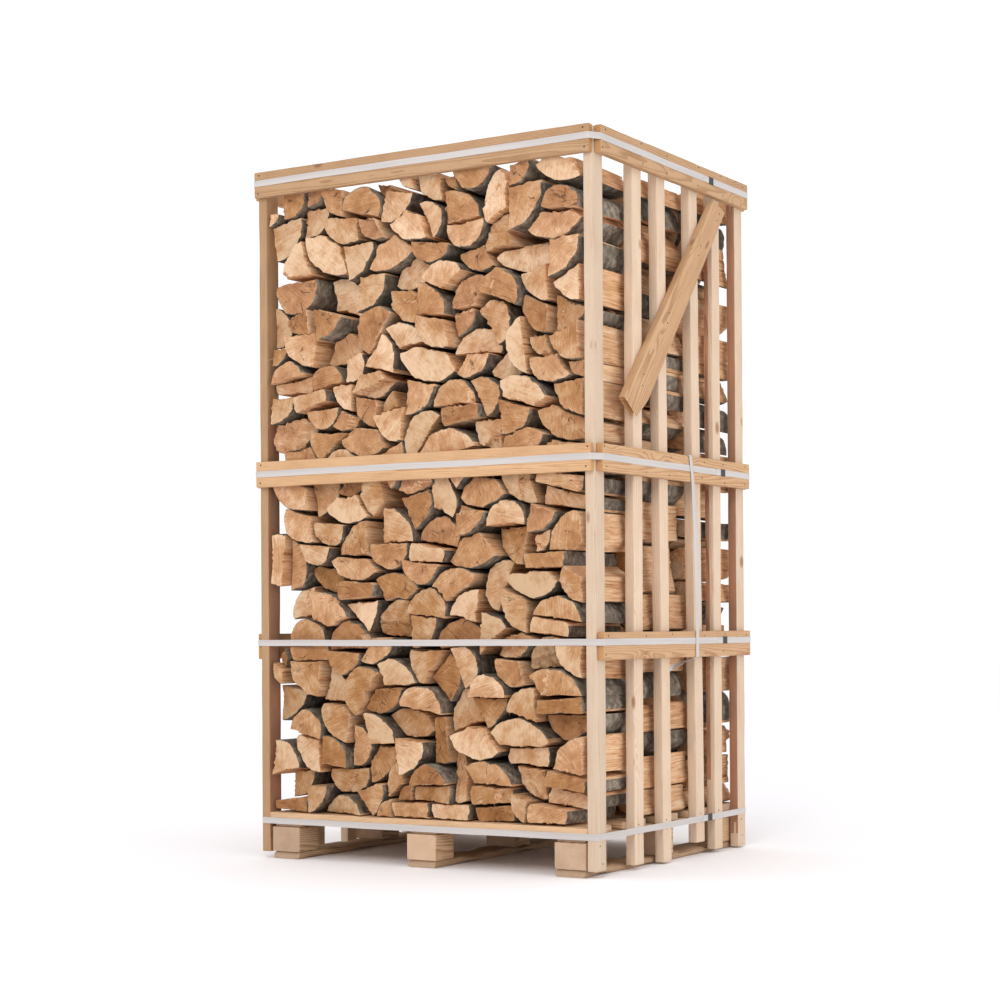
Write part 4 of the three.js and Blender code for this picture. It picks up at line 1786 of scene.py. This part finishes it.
        self.riven_end = rng.uniform(size=n) < self.riven_ends * (1.5 - heap.z / heap.top_left)
        rings = {}
        for end, count, outward in (("front", self.front_rings, -1.0), ("back", self.back_rings, 1.0)):
            row = 0 if end == "front" else -1
            share = np.linspace(1, 0, count + 1)[:-1][None, :, None]
            x = local_x[:, row][:, None] * share
            z = local_z[:, row][:, None] * share
            x = np.concatenate([x.reshape(n, -1), np.zeros((n, 1))], 1)
            z = np.concatenate([z.reshape(n, -1), np.zeros((n, 1))], 1)
            shift = self.cut_plane(x, z, size, rng, outward)
            level = self.low[1] + away[0] if end == "front" else self.high[1] - away[1]
            y = level[:, None] + shift
            limit = self.limit_at(heap.z, outward)
            y = np.maximum(y, limit[:, None]) if outward < 0 else np.minimum(y, limit[:, None])
            rings[end] = (x, y, z)

        turn = heap.angle[:, None]
        lots = rng.uniform(0, 1, (n, 3))
        # Lower logs get a lower level in lots[1], so darker ends and riven faces: partly painted shade on
        # the shut-in lower logs, partly damper wood.
        height = (heap.z / heap.top_left)[:, None]
        lots[:, 1:2] = np.clip(0.12 + 0.6 * lots[:, 1:2] + 0.3 * height, 0, 1)
        centre = stock.centre[kind] * heap.scale[:, None]
        base_x, base_z = self.low[0], self.low[2]

        rim_front = rings["front"][1][:, :t]
        rim_back = rings["back"][1][:, :t]
        y = rim_front[:, None] * (1 - s)[None, :, None] + rim_back[:, None] * s[None, :, None]
        body = [part.reshape(n, -1) for part in (local_x, y, local_z)]
        parts = [(*body, np.repeat(path_x, t, 1), np.repeat(path_z, t, 1))]
        for end, row in (("front", 0), ("back", -1)):
            inner = [part[:, t:] for part in rings[end]]
            line = [path[:, row][:, None].repeat(inner[0].shape[1], 1) for path in (path_x, path_z)]
            parts.append((*inner, *line))
        x, y, z, px, pz = (np.concatenate(group, 1) for group in zip(*parts))
        cos, sin = np.cos(turn), np.sin(turn)
        points = np.stack([base_x + px + x * cos - z * sin, y, base_z + pz + x * sin + z * cos], 2)
        grain = np.stack([x + centre[:, :1], y, z + centre[:, 1:]], 2)

        self.rims = points[:, :t], points[:, (len(s) - 1) * t : len(s) * t]
        crest = heap.z + size
        aside = np.minimum(heap.x, heap.width - heap.x) - size
        seen = (aside < 30 * MM) | (crest > heap.top_right - 0.08)
        for tier in Tier:
            shell = Shell()
            level = heap.z + base_z
            in_tier = (level >= tier.value[0]) & (level < tier.value[1])
            for mine, rings in ((in_tier & seen, range(len(s))), (in_tier & ~seen, self.few_rings)):
                self.gather(shell, mine, np.array(rings) % len(s), points, grain, lots, bark, y)
            name = f"logs_{self.label}_{tier.name.lower()}"
            nodes = [f"log_row_{self.label}"] if tier is Tier.LOWER else []
            shell.piece(name, "split_beech", BEECH, nodes, sharp=38.0)

    def gather(
        self,
        shell: Shell,
        mine: np.ndarray,
        rings: np.ndarray,
        points: np.ndarray,
        grain: np.ndarray,
        lots: np.ndarray,
        bark: np.ndarray,
        y: np.ndarray,
    ) -> None:
        """Puts some of the logs in a shell, with some of the rings along their lengths.

        Args:
            shell: takes them.
            mine: which logs.
            rings: which stations.
            points: every log's points.
            grain: their places in the timber.
            lots: each log's random numbers.
            bark: where each outline is bark.
            y: every point's depth.
        """
        t, rows = self.angles, len(self.stations)
        along = (rings[:, None] * t + np.arange(t)).ravel()
        keep = np.concatenate([along, np.arange(rows * t, points.shape[1])])
        faces, finish = self.faces(
            bark[mine].astype(bool), y[mine][:, keep], len(rings), self.riven_end[mine, None]
        )
        start = shell.points_in(
            points[mine][:, keep], grain[mine][:, keep], np.repeat(lots[mine], len(keep), 0)
        )
        base = start + np.arange(mine.sum())[:, None, None] * len(keep)
        for block, kinds in zip(faces, finish):
            shell.faces_in((block[None] + base).reshape(-1, block.shape[1]), kinds.ravel())

    def limit_at(self, z: np.ndarray, outward: float) -> np.ndarray:
        """How far out an end may reach: less behind a rail or a strap.

        Args:
            z: heights above the heap's foot.
            outward: -1 for the front ends and 1 for the back ends.

        Returns:
            The furthest y for each log.
        """
        limit = np.full(len(z), self.end_limit)
        level = z + self.low[2]
        end = "front" if outward < 0 else "back"
        for node in (f"rail_upper_{end}", f"rail_middle_{end}", "strap_lower", "strap_pallet"):
            low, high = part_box(node)
            limit[(level > low.z - 0.09) & (level < high.z + 0.09)] = self.board_limit
        return limit * outward

    def faces(
        self, bark: np.ndarray, y: np.ndarray, rows: int, riven_end: np.ndarray
    ) -> tuple[list[np.ndarray], list[np.ndarray]]:
        """Faces of one log, numbered from its first point, and each log's finish for every face.

        Args:
            bark: where each log's outline is bark.
            y: every point's depth, to tell a torn wall from a sawn face.
            rows: how many rings lie along the log.
            riven_end: which logs' ends are split off, not sawn.

        Returns:
            Blocks of faces, and for each block the finish numbers, one row for each log.
        """
        t = self.angles
        sides = grid_faces(rows, t)
        both = bark & np.roll(bark, -1, 1)
        blocks = [sides]
        finish = [np.tile(np.where(both, 2, 1), (1, rows - 1))]
        begin = rows * t
        column = np.arange(t)
        for end, count in (("front", self.front_rings), ("back", self.back_rings)):
            outer = column if end == "front" else (rows - 1) * t + column
            quads = []
            for ring in range(count - 1):
                inner = begin + ring * t + column
                quads.append(np.stack([outer, np.roll(outer, -1), np.roll(inner, -1), inner], 1))
                outer = inner
            hub = begin + (count - 1) * t
            wedges = np.stack([outer, np.roll(outer, -1), np.full(t, hub)], 1)
            begin = hub + 1
            for block in ([np.concatenate(quads)] if quads else []) + [wedges]:
                steep = np.ptp(y[:, block], axis=2) > 5.5 * MM
                blocks.append(block if end == "front" else block[:, ::-1])
                finish.append(np.where(steep & ~riven_end, 1, 0))
        return blocks, finish


@dataclass
class Splinters:
    """Torn slivers of beech that stand out from the logs' ends."""

    row: LogRow
    outward: float
    seed: int
    count: int = 900
    tufts: int = 34
    stations: int = 5
    limit: float = 0.5135

    def build(self) -> None:
        """Carries a thin triangle along a bent line: place = root + s * length * way + s^2 * curl."""
        rng = np.random.default_rng(self.seed)
        row = self.row
        bark = row.heap.stock.is_bark[row.heap.kind]
        pool, corner = np.nonzero(~bark)
        pick = rng.integers(0, len(pool), self.count)
        tufts = rng.choice(pick, self.tufts)
        half = self.count // 2
        pick[:half] = rng.choice(tufts, half) + rng.integers(-2, 3, half)
        pick %= len(pool)
        rim = row.rims[0 if self.outward < 0 else 1]
        root = rim[pool[pick], corner[pick]]
        middle = rim[pool[pick]].mean(1)
        radial = root - middle
        radial[:, 1] = 0
        radial /= np.linalg.norm(radial, axis=1)[:, None]
        along = np.array([0.0, self.outward, 0.0])
        length = rng.gamma(2.2, 3.6, self.count)[:, None] * MM
        way = along * rng.uniform(0.2, 1.0, (self.count, 1))
        way = way + radial * rng.uniform(-0.5, 0.7, (self.count, 1))
        way += rng.normal(0, 0.25, way.shape)
        way /= np.linalg.norm(way, axis=1)[:, None]
        curl = rng.normal(0, 0.35, way.shape) * length
        s = np.linspace(0, 1, self.stations)[None, :, None]
        inside = root[:, None] - radial[:, None] * 1.5 * MM
        spine = inside + (s * 1.1 - 0.1) * length[:, None] * way[:, None] + s**2 * curl[:, None]
        spine[..., 1] = np.clip(spine[..., 1], -self.limit, self.limit)
        side = np.cross(way, rng.normal(size=way.shape))
        side /= np.linalg.norm(side, axis=1)[:, None]
        other = np.cross(way, side)
        thick = rng.uniform(0.25, 0.9, (self.count, 1, 1)) * MM * (1 - s * 0.9)
        turn = np.arange(3) * FULL_TURN / 3
        ring = (
            spine[:, :, None]
            + side[:, None, None] * (np.cos(turn)[None, None, :] * thick)[..., None]
            + other[:, None, None] * (np.sin(turn)[None, None, :] * thick * 0.5)[..., None]
        )
        shell = Shell()
        lot = rng.uniform(0, 1, (self.count, 3)) * [1, 0.2, 1] + [0, 0.75, 0]
        start = shell.points_in(ring, None, np.repeat(lot, self.stations * 3, 0))
        base = start + np.arange(self.count)[:, None, None] * (self.stations * 3)
        shell.faces_in((grid_faces(self.stations, 3)[None] + base)[..., ::-1].reshape(-1, 4), 0)
        foot = base[:, :, 0] + np.arange(3)
        tip = foot + (self.stations - 1) * 3
        shell.faces_in(foot[:, ::-1], 0)
        shell.faces_in(tip, 0)
        shell.piece(f"splinters_{row.label}", "split_beech", BEECH[:1])


# ---- Studio ----


def standing(name: str, data: bpy.types.ID, axes: Sequence[np.ndarray], place: Sequence[float]) -> None:
    """Links an object for a lamp or a camera, turned to three axes of its own.

    Args:
        name: the object's name.
        data: the lamp or the camera.
        axes: its right, its up and its backward direction.
        place: where it stands.
    """
    thing = bpy.data.objects.new(name, data)
    thing.matrix_world = Matrix([[*row, at] for row, at in zip(np.stack(axes, 1), place)] + [[0, 0, 0, 1]])
    bpy.context.scene.collection.objects.link(thing)


@dataclass
class Studio:
    """A pale floor, a white surround, soft lights and the camera.

    Each light has its name, place, size in metres and power in watts, and aims at the crate's middle. The
    camera has its lens, its upward shift, its place, and its yaw, pitch and roll in radians.
    """

    lens: float = 74.7
    sensor: float = 36.0
    rise: float = 0.1204
    place: tuple[float, float, float] = (3.462, -5.669, 0.720)
    yaw: float = 0.5515
    pitch: float = 0.0031
    roll: float = -0.0064
    floor_colour: str = "#FCFBFE"
    floor_half: float = 30.0
    sky: float = 1.04
    aim: tuple[float, float, float] = (0.0, 0.0, 1.0)
    lights: tuple[tuple[str, tuple[float, float, float], float, float], ...] = (
        ("key", (2.1, -6.0, 3.6), 2.0, 112.0),
        ("fill", (-4.5, -3.5, 2.6), 3.0, 10.0),
        ("side", (4.2, 0.3, 0.7), 2.0, 24.0),
    )

    def build_floor(self) -> None:
        """Lays a plain pale floor under the pallet."""
        mesh = bpy.data.meshes.new("floor")
        half = self.floor_half
        corners = [(-half, -half, 0), (half, -half, 0), (half, half, 0), (-half, half, 0)]
        mesh.from_pydata(corners, [], [(0, 1, 2, 3)])
        material = bpy.data.materials.new("studio_floor")
        material.use_nodes = True
        shader = material.node_tree.nodes["Principled BSDF"]
        shader.inputs["Base Color"].default_value = linear(self.floor_colour)
        shader.inputs["Roughness"].default_value = 0.9
        shader.inputs["Specular IOR Level"].default_value = 0.1
        mesh.materials.append(material)
        floor = bpy.data.objects.new("floor", mesh)
        bpy.context.scene.collection.objects.link(floor)

    def build_lights(self) -> None:
        """A soft key from the front right, weaker lights from both sides, and a white sky."""
        world = bpy.data.worlds.new("surround")
        bpy.context.scene.world = world
        world.use_nodes = True
        background = world.node_tree.nodes["Background"]
        background.inputs["Color"].default_value = (1.0, 1.0, 1.0, 1.0)
        background.inputs["Strength"].default_value = self.sky
        for name, place, size, power in self.lights:
            light = bpy.data.lights.new(name, "AREA")
            light.size = size
            light.energy = power
            aim = np.array(self.aim) - np.array(place)
            aim /= np.linalg.norm(aim)
            right = np.cross(aim, (0, 0, 1))
            right /= np.linalg.norm(right)
            standing(name, light, (right, np.cross(right, aim), -aim), place)

    def build_camera(self) -> None:
        """Sets the camera at waist height, to the right of the open front."""
        cos, sin = math.cos, math.sin
        level = np.array([-sin(self.yaw), cos(self.yaw), 0.0])
        forward = level * cos(self.pitch) + np.array([0.0, 0.0, sin(self.pitch)])
        level = np.array([cos(self.yaw), sin(self.yaw), 0.0])
        upright = np.cross(level, forward)
        right = level * cos(self.roll) + upright * sin(self.roll)
        up = upright * cos(self.roll) - level * sin(self.roll)
        lens = bpy.data.cameras.new("camera")
        lens.lens = self.lens
        lens.sensor_width = self.sensor
        lens.shift_y = self.rise
        standing("camera", lens, (right, up, -forward), self.place)
        bpy.context.scene.camera = bpy.data.objects["camera"]

    def build(self) -> None:
        """Sets up the floor, the lights, the camera and a plain view transform."""
        self.build_camera()
        self.build_floor()
        self.build_lights()
        bpy.context.scene.view_settings.view_transform = "Standard"


def main() -> None:
    """Builds the crate and its logs."""
    logging.basicConfig(level=logging.INFO, format="%(message)s", force=True)
    Studio().build()
    Pallet().build()
    uprights = Uprights()
    uprights.build()
    Rails().build()
    Nails(uprights).build()
    Strapping().build()
    coarse = (0.0, 0.03, 0.35, 0.65, 0.97, 1.0)
    rows = [
        LogRow("front", 611, back_rings=1),
        LogRow("middle", 622, angles=40, front_rings=1, back_rings=1, stations=coarse),
        LogRow("back", 633, front_rings=1),
    ]
    for row in rows:
        row.lay()
        row.build()
    Splinters(rows[0], -1.0, 71).build()
    Splinters(rows[2], 1.0, 72).build()


if __name__ == "__main__":
    main()
